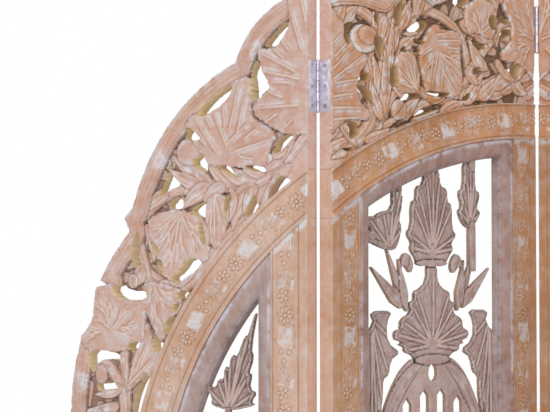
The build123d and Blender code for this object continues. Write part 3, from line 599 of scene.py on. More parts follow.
# ---------------------------------------------------------------- ornament of the outer crest
OUTER_HOLES = [
    [(547, 747), (571, 734), (597, 709), (578, 707), (563, 712), (546, 731)],
    [(610, 690), (621, 669), (617, 655), (616, 627), (604, 628), (597, 637), (581, 647), (592, 667),
     (598, 682)],
    [(650, 655), (668, 651), (701, 632), (722, 611), (708, 607), (692, 615), (681, 619), (664, 629),
     (652, 643)],
    [(749, 580), (736, 596), (722, 585), (709, 574), (725, 572), (745, 574)],
    [(716, 552), (703, 552), (702, 519), (714, 526), (735, 538)],
    [(768, 549), (784, 520), (803, 481), (775, 497), (749, 505), (768, 519), (773, 526)],
    [(784, 470), (767, 487), (752, 485), (743, 469), (765, 467)],
    [(737, 461), (728, 472), (702, 481), (704, 468), (706, 449)],
    [(814, 424), (803, 414), (790, 401), (806, 395)],
    [(808, 388), (788, 387), (784, 367), (800, 376)],
    [(739, 392), (707, 389), (722, 371), (745, 360), (757, 352), (776, 360), (757, 370)],
    [(836, 441), (851, 416), (855, 378), (838, 377), (834, 410)],
    [(897, 345), (874, 352), (850, 340), (820, 342), (820, 327), (850, 326), (880, 327)],
    [(863, 257), (832, 264), (835, 250), (852, 240)],
    [(942, 246), (904, 247), (880, 241), (873, 229), (903, 234), (926, 224), (928, 212), (940, 215)],
    [(930, 196), (914, 192), (888, 198), (874, 182), (897, 187), (922, 176)],
    [(810, 219), (834, 204), (851, 170), (862, 115), (862, 80), (852, 62), (842, 110), (835, 150)],
    [(762, 338), (735, 342), (745, 329), (757, 326)],
    [(771, 318), (751, 325), (763, 303)],
    [(784, 296), (759, 302), (765, 290), (782, 268)],
    [(809, 277), (785, 260), (795, 243), (808, 246)],
    [(685, 533), (657, 533), (645, 516), (631, 508), (660, 517)],
    [(637, 532), (594, 529), (583, 520), (604, 519)],
    [(566, 572), (531, 576), (556, 551), (580, 543)],
    [(564, 513), (582, 492), (585, 474), (536, 503), (553, 512)],
    [(611, 487), (629, 460), (630, 448), (600, 464), (606, 485)],
    [(665, 490), (650, 491), (662, 463), (660, 442), (670, 453)],
    [(717, 444), (708, 446), (701, 416), (705, 404), (715, 425)],
    [(906, 142), (886, 148), (874, 122), (886, 98), (903, 112)],
    [(952, 126), (928, 138), (920, 112), (928, 82), (950, 92)],
    [(908, 82), (884, 86), (876, 56), (892, 28), (908, 46)],
    [(962, 62), (930, 66), (922, 34), (936, 12), (962, 24)],
]


def arc_points(a, b, c, count=8):
    """Points on the circle through a, b and c, from a to c by way of b."""
    (ax, ay), (bx, by), (cx, cy) = a, b, c
    d = 2 * (ax * (by - cy) + bx * (cy - ay) + cx * (ay - by))
    ux = ((ax**2 + ay**2) * (by - cy) + (bx**2 + by**2) * (cy - ay) + (cx**2 + cy**2) * (ay - by)) / d
    uy = ((ax**2 + ay**2) * (cx - bx) + (bx**2 + by**2) * (ax - cx) + (cx**2 + cy**2) * (bx - ax)) / d
    start, middle, end = (math.atan2(y - uy, x - ux) for x, y in (a, b, c))
    turn = (end - start) % (2 * math.pi)
    if (middle - start) % (2 * math.pi) > turn:
        turn -= 2 * math.pi
    angles = start + turn * np.linspace(0, 1, count)
    radius = math.hypot(ax - ux, ay - uy)
    return [(ux + radius * math.cos(t), uy + radius * math.sin(t)) for t in angles]


SCALLOPS = [
    ((0, SPRINGING), (114, 905), (216, 868)),
    ((216, 868), (310, 850), (392, 798)),
    ((392, 798), (480, 801), (560, 775)),
    ((560, 775), (614, 738), (646, 688)),
    ((646, 688), (760, 616), (850, 471)),
    ((856, 434), (893, 393), (917, 357)),
    ((956, 266), (973, 205), (978, 150)),
    ((978, 150), (996, 76), (BORDER_HIGH, 0)),
]


def screen_outline():
    """The scalloped outer edge of the crest, from the crown down to the springing line."""
    points = []
    for i, scallop in enumerate(SCALLOPS):
        points += arc_points(*scallop, 14)
        if i == 4:
            points += [(867, 456)]
        if i == 5:
            points += [(902, 350), (923, 347), (930, 300)]
    return points + [(BORDER_HIGH, -60), (-60, -60), (-60, SPRINGING)]


TOP = CREST_FRONT - 0.2


def rim_of_crest(board, outline):
    """The band along the scalloped edge: flat, with a worn chamfer outside between two scribed lines."""
    s, v = board.s, board.v
    from_edge = inside_outline(s, v, outline)
    width = RIM + 2.5 + 1.2 * ripple(s, v, 60, 2.0)
    inside = width - from_edge
    chamfer = step_up(from_edge, 0, 7.5)
    line = bell(from_edge - 8.2 - 0.8 * ripple(s, v, 45, 4.0), 0.7)
    for depth, seed in ((14.5, 1.0), (21.5, 2.6), (26.0, 4.2)):
        come_and_go = step_up(ripple(s, v, 130, seed + 1.5), -0.15, 0.25)
        strand = bell(from_edge - depth - 1.8 * ripple(s, v, 80, seed), 0.8)
        line = np.maximum(line, strand * come_and_go)
    level = TOP - 3.2 + 3.2 * chamfer - 0.8 * line + 0.3 * ripple(s, v, 30, 1.0)
    worn = (1 - chamfer) * step_up(ripple(s, v, 19, 3.0), -0.5, 0.2)
    patch = step_up(ripple(s, v, 75, 5.0), 0.35, 0.6) * step_up(from_edge, 8, 12)
    w = (slice(None), slice(None))
    # Dark beside the inner scribed line, and in a line a little inside the band's inner edge, is painted
    # shade.
    board.lay(w, inside, level, 0.6 * line, 0.35 * bell(from_edge - 9.8, 0.8),
              0.9 * worn + 0.75 * patch)
    board.dark = np.where(inside > 0, np.maximum(board.dark, 0.9 * bell(inside - 4.5, 0.8)),
                          board.dark)
    tan = step_up(ripple(s, v, 110, 7.0), -0.4, 0.4) * bell(from_edge - 17, 9)
    board.stain_and_shade = np.where(inside > 0, 0.6 * tan, board.stain_and_shade)


OUTER_STEMS = (
    ([(846, 440), (806, 474), (776, 492), (740, 500), (690, 502), (640, 502), (600, 508), (570, 520),
      (548, 538), (530, 556), (506, 578)], (16, 17, 20, 22, 22, 20, 17, 15)),
    ([(835, 450), (838, 410), (828, 376), (800, 354), (766, 345), (734, 352), (708, 374), (686, 400),
      (658, 428), (628, 446), (590, 468)], (20, 20, 22, 20, 17, 15)),
    ([(836, 420), (824, 380), (816, 350), (806, 330)], (14, 18, 22)),
    ([(872, 262), (866, 236), (862, 200), (864, 160), (872, 110), (868, 60), (866, 0)],
     (12, 16, 22, 24, 18, 14)),
    ([(962, 262), (969, 225), (968, 190), (966, 160), (958, 130), (944, 100), (930, 70), (920, 30),
      (924, -10)], (16, 20, 20, 20, 16, 14)),
    ([(944, 262), (944, 220), (950, 190), (962, 150)], (14, 16, 12)),
    ([(930, 220), (904, 226), (884, 208), (868, 178), (866, 140)], (20, 20, 18, 16)),
)
OUTER_BLADES = (
    ((690, 503), (770, 552), 26, -4), ((714, 502), (776, 530), 22, -3), ((744, 498), (800, 498), 16, -3),
    ((642, 501), (704, 552), 28, -7), ((606, 506), (682, 536), 26, -6), ((588, 516), (640, 536), 18, -4),
    ((690, 501), (752, 466), 28, 5), ((664, 502), (710, 474), 22, 4), ((556, 534), (590, 466), 26, -5),
    ((540, 530), (600, 460), 18, 5), ((600, 524), (530, 576), 26, 7), ((776, 494), (826, 462), 22, 4),
    ((548, 556), (584, 538), 20, 0), ((604, 500), (650, 432), 34, 14), ((606, 498), (626, 448), 20, 6),
    ((652, 498), (664, 440), 20, -6), ((820, 446), (806, 384), 24, -7), ((826, 380), (856, 346), 26, -4),
    ((866, 254), (860, 196), 18, 2), ((800, 350), (734, 340), 18, -3), ((774, 352), (716, 376), 20, 4),
    ((752, 330), (780, 298), 18, -3), ((870, 190), (928, 176), 20, -4), ((876, 160), (950, 150), 22, -5),
    ((868, 130), (842, 60), 22, 3), ((872, 116), (912, 150), 22, -4), ((872, 88), (918, 90), 24, -4),
    ((868, 40), (910, 24), 24, 4), ((920, 60), (964, 74), 24, -4), ((916, 66), (884, 98), 20, 4),
    ((924, 20), (970, 6), 22, 4), ((930, 92), (966, 138), 26, -4), ((904, 44), (884, 2), 20, 2),
    ((866, 60), (858, 6), 20, 3), ((944, 104), (916, 154), 22, 4), ((850, 150), (838, 96), 18, 3),
)
OUTER_LEAVES = (
    ([(700, 486), (706, 452), (700, 424), (686, 402), (674, 412), (662, 434), (656, 462), (664, 490)],
     fan((684, 492), [(684, 408), (700, 436), (668, 436), (694, 420)], False), -0.6),
    ([(820, 452), (792, 464), (766, 468), (742, 464), (722, 458), (704, 448), (694, 430), (694, 404),
      (700, 384), (728, 384), (738, 366), (756, 362), (766, 354), (792, 366), (788, 386), (802, 392),
      (800, 408), (812, 418), (816, 440)],
     fan((752, 462), [(804, 424), (784, 372), (770, 362), (744, 376), (708, 396), (704, 426), (798, 398)]),
     0.1),
    ([(830, 350), (826, 312), (816, 300), (806, 284), (796, 258), (782, 264), (778, 296), (764, 300),
      (762, 320), (748, 324), (750, 344), (780, 350), (806, 356)],
     fan((806, 350), [(818, 312), (792, 268), (774, 306), (760, 330)]), -0.1),
    ([(862, 180), (846, 244), (840, 262), (832, 290), (820, 294), (812, 278), (804, 256), (794, 242),
      (796, 222), (812, 206), (836, 200), (850, 186)],
     fan((856, 190), [(826, 282), (812, 264), (804, 238), (812, 214)], False), -0.4),
    ([(905, 352), (930, 350), (934, 312), (932, 296), (944, 280), (962, 268), (944, 246), (905, 240),
      (868, 246), (826, 258), (822, 296), (820, 318), (822, 334), (868, 334), (886, 352)],
     fan((890, 279), [(926, 342), (908, 338), (926, 306), (890, 330), (850, 322), (832, 290), (840, 264),
                      (950, 268)]), 0.1),
    ([(740, 604), (722, 616), (702, 612), (698, 622), (682, 622), (680, 632), (666, 636), (664, 650),
      (646, 660), (616, 668), (612, 640), (616, 606), (604, 598), (582, 588), (566, 572), (580, 556),
      (586, 540), (588, 524), (640, 528), (692, 530), (708, 544), (716, 560), (728, 570), (740, 588)],
     [((659, 559), (683, 613)), ((680, 555), (715, 597)), ((655, 586), (636, 648)), ((658, 563), (621, 594)),
      ((625, 571), (601, 585)), ((644, 551), (579, 568)), ((635, 545), (610, 540)), ((664, 590), (666, 622)),
      ((690, 590), (700, 606)), ((700, 566), (724, 584)), ((640, 580), (622, 636))], 0.2),
    ([(498, 806), (540, 800), (546, 770), (544, 740), (556, 722), (566, 708), (580, 704), (604, 708),
      (600, 684), (594, 668), (580, 652), (584, 640), (604, 630), (612, 616), (604, 600), (588, 594),
      (572, 582), (548, 574), (526, 572), (498, 578)],
     [((531, 668), (593, 697)), ((524, 655), (592, 672)), ((554, 630), (580, 641)), ((525, 616), (602, 617)),
      ((565, 605), (584, 596)), ((544, 700), (560, 722)), ((520, 700), (538, 756)), ((553, 690), (572, 704)),
      ((512, 740), (524, 790)), ((540, 650), (572, 654)), ((535, 596), (552, 584))], 0.1),
)


# how far parts of the ornament lie below the crests' top, in mm
GROUND_SINK, INNER_GROUND_SINK = 7.0, 7.5
FIELD_SINK, INNER_FIELD_SINK = 1.2, 1.8
STEM_SINK, BLADE_SINK, INNER_BLADE_SINK = 1.4, 0.7, 0.8
LOW_BLADE_SINK, LOW_BLADE_SPACING = 4.2, 33
SAW_WANDER = 0.45


def bound_crest(board, outline, ends):
    """Keeps the board between the arch rail, the scalloped edge and the panel's straight ends."""
    board.keep(inside_outline(board.s, board.v, outline))
    board.keep(-inside_ellipse(board.s, board.v, ARCH_SPAN + GLUE, ARCH_RISE + GLUE))
    board.keep(ends + ON_LINE)


def lay_scrolls(board, fields, field_sink, stems, blades, blade_sink):
    """Lays the flat fields of a crest, its stems and the blades that grow from them."""
    for field in fields:
        w = board.window(field, 4)
        board.lay(w, inside_outline(board.s[w], board.v[w], field), TOP - field_sink)
    for path, widths in stems:
        board.stem(path, widths, TOP - STEM_SINK)
    for base, tip, width, bend in blades:
        board.blade(base, tip, width, TOP - blade_sink, bend)


def lay_leaves(board, outline, leaves):
    """Lays the rim along the scalloped edge and the leaves that lie over it."""
    rim_of_crest(board, outline)
    for shape, veins, lift in leaves:
        board.leaf(shape, veins, TOP + lift)


def pierce_crest(board, holes, seed):
    """Saws the openings, with an edge that wanders a little, and rounds the arrises."""
    for hole in holes:
        board.pierce(hole)
    board.inside += SAW_WANDER * ripple(board.s, board.v, 9, seed)
    soften(board)


def carve_outer_crest(step):
    """The crest of an outer panel, from its hinge down to the springing line."""
    board = Board(lines(OUTER_LOW, BORDER_HIGH + 6, step), lines(0, 800, step), TOP - GROUND_SINK, 0.8, 0.75)
    outline = screen_outline()
    bound_crest(board, outline, np.minimum(board.s - OUTER_LOW, board.v))
    board.level += 1.2 * ripple(board.s, board.v, 16, 1.3)
    board.undergrowth((OUTER_LOW, 0), (BORDER_HIGH, 780), LOW_BLADE_SPACING, TOP - LOW_BLADE_SINK, 0.6)
    lay_scrolls(board, [[(490, 590), (540, 560), (590, 520), (640, 496), (640, 420), (490, 500)]],
                FIELD_SINK, OUTER_STEMS, OUTER_BLADES, BLADE_SINK)
    for centre, radii, drop, height, pale in (
        ((735, 556), (26, 22), 0.0, 5.0, 0.5), ((588, 540), (12, 9), 0.4, 3.0, 0.9),
        ((914, 208), (12, 16), 0.6, 4.0, 0.3), ((858, 446), (12, 10), 0.4, 4.0, 0.3),
        ((848, 356), (10, 12), 0.6, 3.0, 0.9),
    ):
        board.bud(centre, radii, TOP - drop, height, pale=pale)
    lay_leaves(board, outline, OUTER_LEAVES)
    # Less painted shade on the outer crest.
    board.dark *= 0.6
    pierce_crest(board, OUTER_HOLES, 0.7)
    return board


def soften(board, bevel=1.4):
    """Rounds the arrises along pierced edges, where lime stays in patches. The board's own border
    stays crisp, with a thin worn line."""
    pierced = board.border > board.inside + 0.2
    edge = (1 - step_up(board.inside, 0, 2.4)) * pierced
    board.level -= bevel * edge
    patchy = step_up(ripple(board.s, board.v, 21, 6.0), -0.2, 0.4)
    arris = 0.7 * bell(board.border, 0.9) * step_up(ripple(board.s, board.v, 47, 2.0), -0.5, 0.1)
    board.lime = np.clip(board.lime + 0.6 * edge * patchy + arris, 0, 1)


# ---------------------------------------------------------------- ornament of the inner crest
HINGE_SIDE_HOLES = [
    [(482, 728), (479, 741), (450, 748), (463, 728), (463, 712), (474, 708)],
    [(446, 657), (436, 671), (420, 673), (416, 660)],
    [(450, 646), (443, 652), (418, 650), (406, 615), (425, 633)],
    [(473, 594), (450, 596), (438, 580), (462, 565), (468, 582)],
]
CENTRE_SHIFT = 118.0

INNER_HOLES = HINGE_SIDE_HOLES + [
    [(410, 715), (410, 732), (383, 727), (392, 688)],
    [(367, 769), (347, 788), (337, 789), (345, 752), (352, 745)],
    [(336, 741), (312, 758), (280, 766), (272, 756), (291, 744)],
    [(320, 730), (298, 723), (282, 729), (304, 734)],
    [(350, 712), (334, 722), (329, 706)],
    [(314, 707), (300, 706), (290, 656), (303, 680)],
    [(370, 690), (352, 684), (350, 655), (372, 652)],
    [(484, 552), (468, 556), (455, 555), (466, 549)],
    [(378, 588), (356, 602), (337, 608), (352, 595)],
    [(347, 634), (334, 646), (297, 650), (308, 637)],
    [(316, 608), (295, 626), (255, 625), (292, 614)],
    [(283, 649), (278, 656), (250, 653), (220, 655), (240, 645)],
    [(197, 643), (189, 652), (168, 660), (175, 645)],
    [(172, 738), (145, 743), (126, 732), (150, 730)],
    [(168, 695), (163, 686), (140, 692), (146, 704)],
    [(200, 742), (186, 715), (190, 672), (199, 700)],
    [(408, 750), (410, 763), (396, 766), (396, 748)],
    [(330, 812), (305, 822), (285, 815), (318, 800)],
    [(262, 835), (236, 842), (222, 832), (246, 822)],
    [(205, 846), (178, 854), (158, 846), (185, 834)],
    [(214, 802), (190, 815), (172, 806), (196, 790)],
    [(142, 822), (120, 838), (100, 826), (124, 806)],
    [(128, 784), (106, 792), (98, 768), (118, 762)],
]
INNER_HOLES += [moved(turned(hole, PITCH / 2), 0, CENTRE_SHIFT) for hole in HINGE_SIDE_HOLES]


INNER_STEMS = (
    ([(514, 604), (486, 592), (460, 574), (430, 566), (396, 588), (364, 600), (326, 614), (290, 634),
      (250, 642), (206, 652)], (15, 15, 14, 15, 14)),
    ([(398, 592), (394, 640), (386, 690), (378, 734), (366, 780)], (20, 22, 20, 16, 12)),
    ([(404, 596), (416, 650), (414, 706)], (12, 16, 12)),
    ([(390, 604), (370, 634), (346, 654)], (14, 16, 12)),
    ([(504, 554), (462, 560), (430, 578), (412, 606), (409, 640), (418, 676), (436, 702)],
     (8, 20, 26, 26, 22, 14)),
    ([(302, 655), (274, 642), (238, 640), (207, 648), (186, 664), (176, 686), (178, 710), (189, 738),
      (207, 758), (238, 773), (274, 780), (305, 779), (340, 762), (368, 752)], (15, 16, 16, 16, 14)),
    ([(356, 742), (321, 762), (283, 788), (245, 802), (200, 822), (150, 838), (106, 852)],
     (16, 16, 15, 14)),
    ([(178, 690), (150, 715), (120, 740), (90, 760), (60, 752), (30, 730), (0, 728)], (16, 16, 17)),
    ([(118, 742), (112, 780), (100, 812), (84, 852)], (15, 14, 13)),
    ([(210, 650), (170, 666), (130, 674), (90, 690), (50, 684), (0, 700)], (15, 15, 15)),
    ([(312, 760), (340, 716), (352, 700)], (12, 18, 12)),
    ([(470, 770), (430, 766), (398, 740)], (18, 20, 10)),
)
INNER_BLADES = (
    ((200, 646), (146, 674), 22, 3), ((176, 650), (112, 664), 22, -3), ((130, 660), (72, 668), 22, 3),
    ((90, 664), (34, 680), 20, -3), ((30, 660), (-12, 690), 22, 3), ((66, 700), (20, 712), 20, 3),
    ((518, 548), (462, 574), 20, 3), ((518, 566), (474, 590), 18, -3), ((470, 548), (508, 536), 12, 2),
    ((396, 600), (414, 704), 24, 6), ((384, 690), (410, 768), 22, -5), ((382, 700), (350, 754), 24, 5),
    ((376, 730), (400, 794), 24, -4), ((480, 590), (436, 600), 24, 4), ((488, 606), (446, 556), 22, 4),
    ((430, 566), (372, 590), 24, 5), ((340, 605), (300, 640), 22, -4), ((320, 600), (252, 626), 24, 5),
    ((330, 580), (276, 606), 24, 4), ((280, 640), (222, 658), 20, 3), ((384, 560), (326, 592), 26, 4),
    ((300, 590), (236, 614), 26, 4), ((250, 612), (186, 642), 26, -4), ((190, 640), (138, 692), 26, 4),
    ((150, 650), (96, 692), 26, 4), ((110, 670), (46, 694), 24, -4), ((150, 715), (124, 698), 22, 3),
    ((140, 700), (172, 744), 24, -4), ((110, 750), (130, 790), 24, -4), ((100, 760), (56, 792), 26, 4),
    ((100, 800), (144, 828), 24, -4), ((96, 815), (56, 842), 26, 4), ((240, 800), (212, 844), 26, -5),
    ((270, 790), (230, 832), 24, -4), ((310, 770), (278, 816), 26, -4), ((345, 750), (334, 804), 26, -4),
    ((200, 820), (158, 856), 24, 4), ((200, 806), (170, 788), 22, -4), ((60, 752), (28, 794), 28, 4),
    ((40, 735), (12, 772), 24, 3), ((30, 720), (58, 688), 22, 3), ((60, 686), (18, 666), 24, 4),
    ((360, 776), (338, 808), 22, 4), ((90, 848), (48, 876), 24, 3), ((480, 736), (446, 770), 26, -3),
    ((506, 736), (476, 784), 28, 4), ((180, 700), (150, 672), 22, 4), ((196, 770), (160, 748), 22, -3),
    ((160, 760), (120, 744), 22, 3), ((300, 740), (340, 728), 18, 4), ((350, 716), (308, 744), 22, 5),
    ((393, 600), (363, 766), 25, 3), ((392, 602), (419, 664), 22, -3),
    ((384, 762), (396, 714), 19, 0), ((350, 744), (322, 792), 24, 3), ((388, 640), (384, 712), 14, 2),
    ((296, 700), (272, 744), 20, -4), ((300, 672), (290, 712), 16, 3),
    ((290, 760), (340, 736), 16, -3), ((420, 800), (370, 812), 24, 4), ((340, 640), (372, 660), 18, 3),
)
INNER_LEAVES = (
    ([(518, 776), (492, 748), (478, 742), (452, 704), (430, 704), (426, 686), (446, 664), (450, 640),
      (438, 622), (418, 612), (424, 596), (470, 600), (518, 566)],
     [((505, 710), (484, 726)), ((502, 690), (446, 734)), ((505, 655), (432, 698)), ((500, 650), (448, 658)),
      ((506, 612), (440, 616)), ((505, 672), (470, 700)), ((504, 630), (458, 636)), ((506, 594), (452, 602)),
      ((480, 672), (456, 680))], 0.1),
    ([(-10, 884), (18, 870), (34, 864), (58, 822), (82, 820), (86, 804), (64, 782), (60, 758), (72, 740),
      (92, 730), (86, 714), (40, 718), (-10, 684)],
     fan((0, 758), [(26, 858), (70, 812), (60, 774), (66, 734), (36, 840), (44, 714)]), 0.1),
    ([(352, 650), (366, 672), (362, 692), (346, 712), (322, 712), (302, 700), (298, 664), (306, 644),
      (336, 646)],
     [((312, 655), (334, 700)), ((309, 654), (345, 675)), ((318, 660), (346, 688)), ((310, 662), (322, 702)),
      ((320, 654), (352, 662)), ((306, 664), (308, 694)), ((326, 668), (342, 698))], 0.0),
    ([(262, 764), (246, 752), (206, 754), (192, 738), (194, 700), (192, 668), (206, 648), (240, 646),
      (262, 650), (288, 652), (298, 690), (304, 702), (288, 738)],
     [((258, 733), (203, 740)), ((232, 725), (201, 727)), ((252, 716), (202, 702)), ((250, 712), (198, 686)),
      ((238, 696), (206, 661)), ((227, 691), (203, 675)), ((247, 704), (240, 672)), ((240, 682), (223, 658)),
      ((259, 715), (272, 662)), ((253, 713), (256, 660)), ((268, 714), (278, 664)), ((274, 720), (295, 708)),
      ((272, 702), (288, 684)), ((216, 708), (202, 696)), ((232, 674), (214, 656)), ((246, 690), (248, 660)),
      ((226, 712), (204, 714)), ((262, 744), (230, 748))], 0.2),
    ([(150, 756), (182, 752), (188, 796), (164, 806), (150, 818), (108, 806), (98, 770), (118, 746)],
     fan((146, 756), [(176, 792), (158, 804), (140, 808), (116, 798), (106, 776)]), 0.0),
    ([(262, 788), (304, 800), (300, 838), (262, 852), (222, 846), (220, 804)],
     fan((264, 792), [(294, 810), (290, 832), (262, 846), (234, 840), (228, 814)]), -0.1),
)


def carve_inner_crest(step):
    """The crest of an inner panel, between the centre hinge and the side hinge."""
    board = Board(lines(*INNER, step), lines(508, SPRINGING + 3, step), TOP - INNER_GROUND_SINK, 0.9, 0.85)
    s, v = board.s, board.v
    outline = screen_outline()
    bound_crest(board, outline,
                np.minimum(np.minimum(s - INNER[0], INNER[1] - s), SPRINGING - 0.05 - v))
    board.level += 1.2 * ripple(s, v, 15, 2.1)
    board.undergrowth((INNER[0], 530), (INNER[1], SPRINGING - 20), LOW_BLADE_SPACING,
                      TOP - LOW_BLADE_SINK, 2.2)
    lay_scrolls(board, [[(520, 500), (520, 600), (492, 590), (462, 572), (430, 560)],
                        [(-10, 600), (-10, 700), (26, 690), (40, 660), (50, 640)]],
                INNER_FIELD_SINK, INNER_STEMS, INNER_BLADES, INNER_BLADE_SINK)
    ring(board, (62, 730), 40, 15, TOP - 0.4)
    lay_leaves(board, outline, INNER_LEAVES)
    for centre, radii, height, seam, pale in (
        ((350, 619), (18, 17), 4.0, 0.8, 0.3), ((432, 722), (31, 22), 3.0, None, 1.0),
        ((80, 840), (28, 20), 5.0, 1.9, 0.7),
    ):
        board.bud(centre, radii, TOP, height, seam, pale)
    board.bud((424, 728), (22, 14), TOP + 0.4, 3.0)
    for centre, radii, amount in (((480, 670), (34, 70), 0.9), ((420, 730), (16, 10), 1.3),
                                  ((352, 616), (15, 14), 1.0), ((440, 790), (40, 18), 0.6),
                                  ((210, 720), (60, 40), 0.3), ((60, 800), (50, 50), 0.4)):
        board.stain_at(centre, radii, amount)
    pierce_crest(board, INNER_HOLES, 1.9)
    return board


def ring(board, centre, radius, width, top):
    """A curling stem: a half-round on a circle."""
    angles = np.linspace(0.3, 2 * math.pi - 0.5, 12)
    path = [(centre[0] + radius * math.cos(t), centre[1] + radius * math.sin(t)) for t in angles]
    board.stem(path, (width * 0.6, width, width), top)


# ---------------------------------------------------------------- side border
SCALLOP_COUNT = 3
SCALLOP_BULGE = 22.0


def carve_side_border(step):
    """The upright beside the outer stile: a waving stem with leaves inside a scalloped rim."""
    low = ARCH_SPAN + GLUE
    pace = -RAIL_LOW / SCALLOP_COUNT
    middle = (low + BORDER_HIGH) / 2
    sway = (BORDER_HIGH - low) / 2 - RIM
    board = Board(lines(low, BORDER_HIGH + SCALLOP_BULGE + 2, step), lines(RAIL_LOW, 0, step), TOP - 6)
    s, v = board.s, board.v
    outline = [(low, RAIL_LOW)]
    for i in range(SCALLOP_COUNT):
        foot = RAIL_LOW + i * pace
        outline += arc_points((BORDER_HIGH, foot), (BORDER_HIGH + SCALLOP_BULGE, foot + pace / 2),
                              (BORDER_HIGH, foot + pace), 12)
    outline += [(low, 0)]
    whole = inside_outline(s, v, outline)
    window = np.minimum(np.minimum(s - low - 10, BORDER_HIGH - RIM / 2 - s),
                        np.minimum(v - RAIL_LOW - 16, -16 - v))
    board.inside = -window
    stations = np.arange(4 * SCALLOP_COUNT + 1)
    wave = [(middle + sway * math.sin(math.pi * i / 2), RAIL_LOW + i * pace / 4) for i in stations]
    board.add_solid([(a + 5, b) for a, b in wave] + [(a - 5, b) for a, b in reversed(wave)])
    board.stem(wave, (11, 11), TOP - 1.0)
    for i in range(2 * SCALLOP_COUNT):
        outward = 1 if i % 2 else -1
        base = (middle - outward * sway, RAIL_LOW + (i + 0.5) * pace / 2)
        tips = [(base[0] + outward * a, base[1] + b) for a, b in ((14, 66), (52, 66), (101, 27))]
        shape = palmate(base, tips, 0.6)
        board.add_solid(shape)
        board.leaf(shape, fan(base, tips), TOP - 0.3)
        tip = (base[0] + outward * 101, base[1] - 45)
        board.add_solid(diamond_blade(base, tip, 16))
        board.blade(base, tip, 18, TOP - 0.6)
    board.keep(whole + ON_LINE)
    from_rim = s - (BORDER_HIGH - RIM / 2)
    chamfer = step_up(whole, 0, 7.5)
    board.lay((slice(None), slice(None)), from_rim, TOP - 3.4 + 3.4 * chamfer, lime=0.5 * (1 - chamfer))
    soften(board)
    return board


# ---------------------------------------------------------------- jalis
TALL_LEAF = [(0, 380), (38, 380), (38, 390), (54, 406), (48, 415), (62, 430), (50, 440), (50, 478),
             (38, 484), (38, 503), (20, 508), (18, 532), (0, 545)]
TALL_TIPS = both_sides([(0, 545), (18, 532), (38, 503), (50, 478), (54, 408), (62, 430)])
BROAD_LEAF = [(0, 228), (44, 228), (44, 240), (70, 247), (66, 254), (84, 258), (95, 276), (76, 284),
              (77, 296), (50, 308), (58, 322), (44, 326), (44, 340), (28, 344), (12, 358), (12, 382),
              (0, 382)]
BROAD_TIPS = both_sides([(0, 380), (42, 340), (56, 322), (76, 294), (92, 274), (70, 248)])
DOME_ARM = [(18, 232), (44, 238), (72, 222), (92, 200), (110, 172), (124, 142), (134, 100), (134, 40),
            (112, 40), (112, 98), (100, 130), (84, 160), (64, 186), (38, 204)]
SIDE_LEAF = [(356, 402), (340, 407), (330, 440), (338, 452), (328, 478), (328, 512), (352, 500),
             (352, 466), (378, 462), (396, 454), (436, 452), (436, 428), (393, 410)]
SIDE_TIPS = [(330, 440), (330, 478), (330, 508), (352, 498), (378, 462), (412, 451), (404, 418)]
BAY_LEAF = [(348, 404), (330, 430), (342, 436), (332, 462), (346, 466), (346, 514), (374, 514),
            (374, 466), (388, 462), (378, 436), (390, 430), (372, 404)]
BAY_TIPS = [(330, 431), (332, 462), (348, 508), (360, 512), (372, 508), (388, 462), (390, 431)]
DROOPING = [(404, 310), (350, 311), (366, 292), (364, 262), (332, 246), (357, 234), (362, 210),
            (375, 206), (377, 165), (390, 120), (400, 60), (436, 40), (436, 262), (392, 290)]
DROOPING_TIPS = [(332, 246), (363, 211), (379, 165), (392, 118), (404, 62)]
BUD = [(301, 380), (309, 366), (323, 382), (334, 376), (330, 396), (314, 401)]
DRAWN_MIDDLE = 256.0  # the leaves above that are not symmetric are drawn about this line
SLOT_PITCH, SLOT_WIDTH = 42.0, 22.0
LANTERN_BASE, LANTERN_RAIL = 40.0, 18.0
TIER = 470.0
JALI_TOP = JALI_FRONT - 0.2


def pointed_slot(s, low, top):
    """The outline of an upright slot with a pointed head."""
    half = SLOT_WIDTH / 2
    return [(s - half, low), (s + half, low), (s + half, top - half), (s, top), (s - half, top - half)]


def diamond_blade(base, tip, width):
    """The outline of a slender leaf with its belly a third of the way up."""
    ds, dv = tip[0] - base[0], tip[1] - base[1]
    length = math.hypot(ds, dv)
    across = (-dv / length * width / 2, ds / length * width / 2)
    mid = (base[0] + ds * 0.35, base[1] + dv * 0.35)
    return [base, (mid[0] + across[0], mid[1] + across[1]), tip, (mid[0] - across[0], mid[1] - across[1])]


def opening_inside(s, v, bay, inset):
    """Distance inside a panel's opening less an inset."""
    upright = np.minimum(s - bay[0] - inset, bay[1] - inset - s)
    return np.minimum(np.minimum(upright, v - RAIL_TOP - inset), arch_inset(s, v, inset + GLUE))


def jali_board(bay, split, top, step):
    """An empty board for an opening, its grid coarser below split, for solids to be joined to."""
    board = Board(lines(bay[0] + JALI_EDGE - 1, bay[1] - JALI_EDGE + 1, step),
                  graded_lines(RAIL_TOP + JALI_EDGE - 1, split, top, step * 1.7, step), JALI_TOP - 2.6)
    board.inside[:] = -FAR
    return board


def finish_jali(board, bay):
    """Joins the rim that the moulding covers, cuts the board to size and rounds its arrises."""
    s, v = board.s, board.v
    rim = -opening_inside(s, v, bay, MOULDING)
    board.inside = np.maximum(board.inside + 0.3 * ripple(s, v, 8, 0.4), rim)
    board.level = np.where(rim > -0.5, JALI_TOP, board.level)
    board.keep(opening_inside(s, v, bay, JALI_EDGE) + ON_LINE)
    soften(board, 1.1)


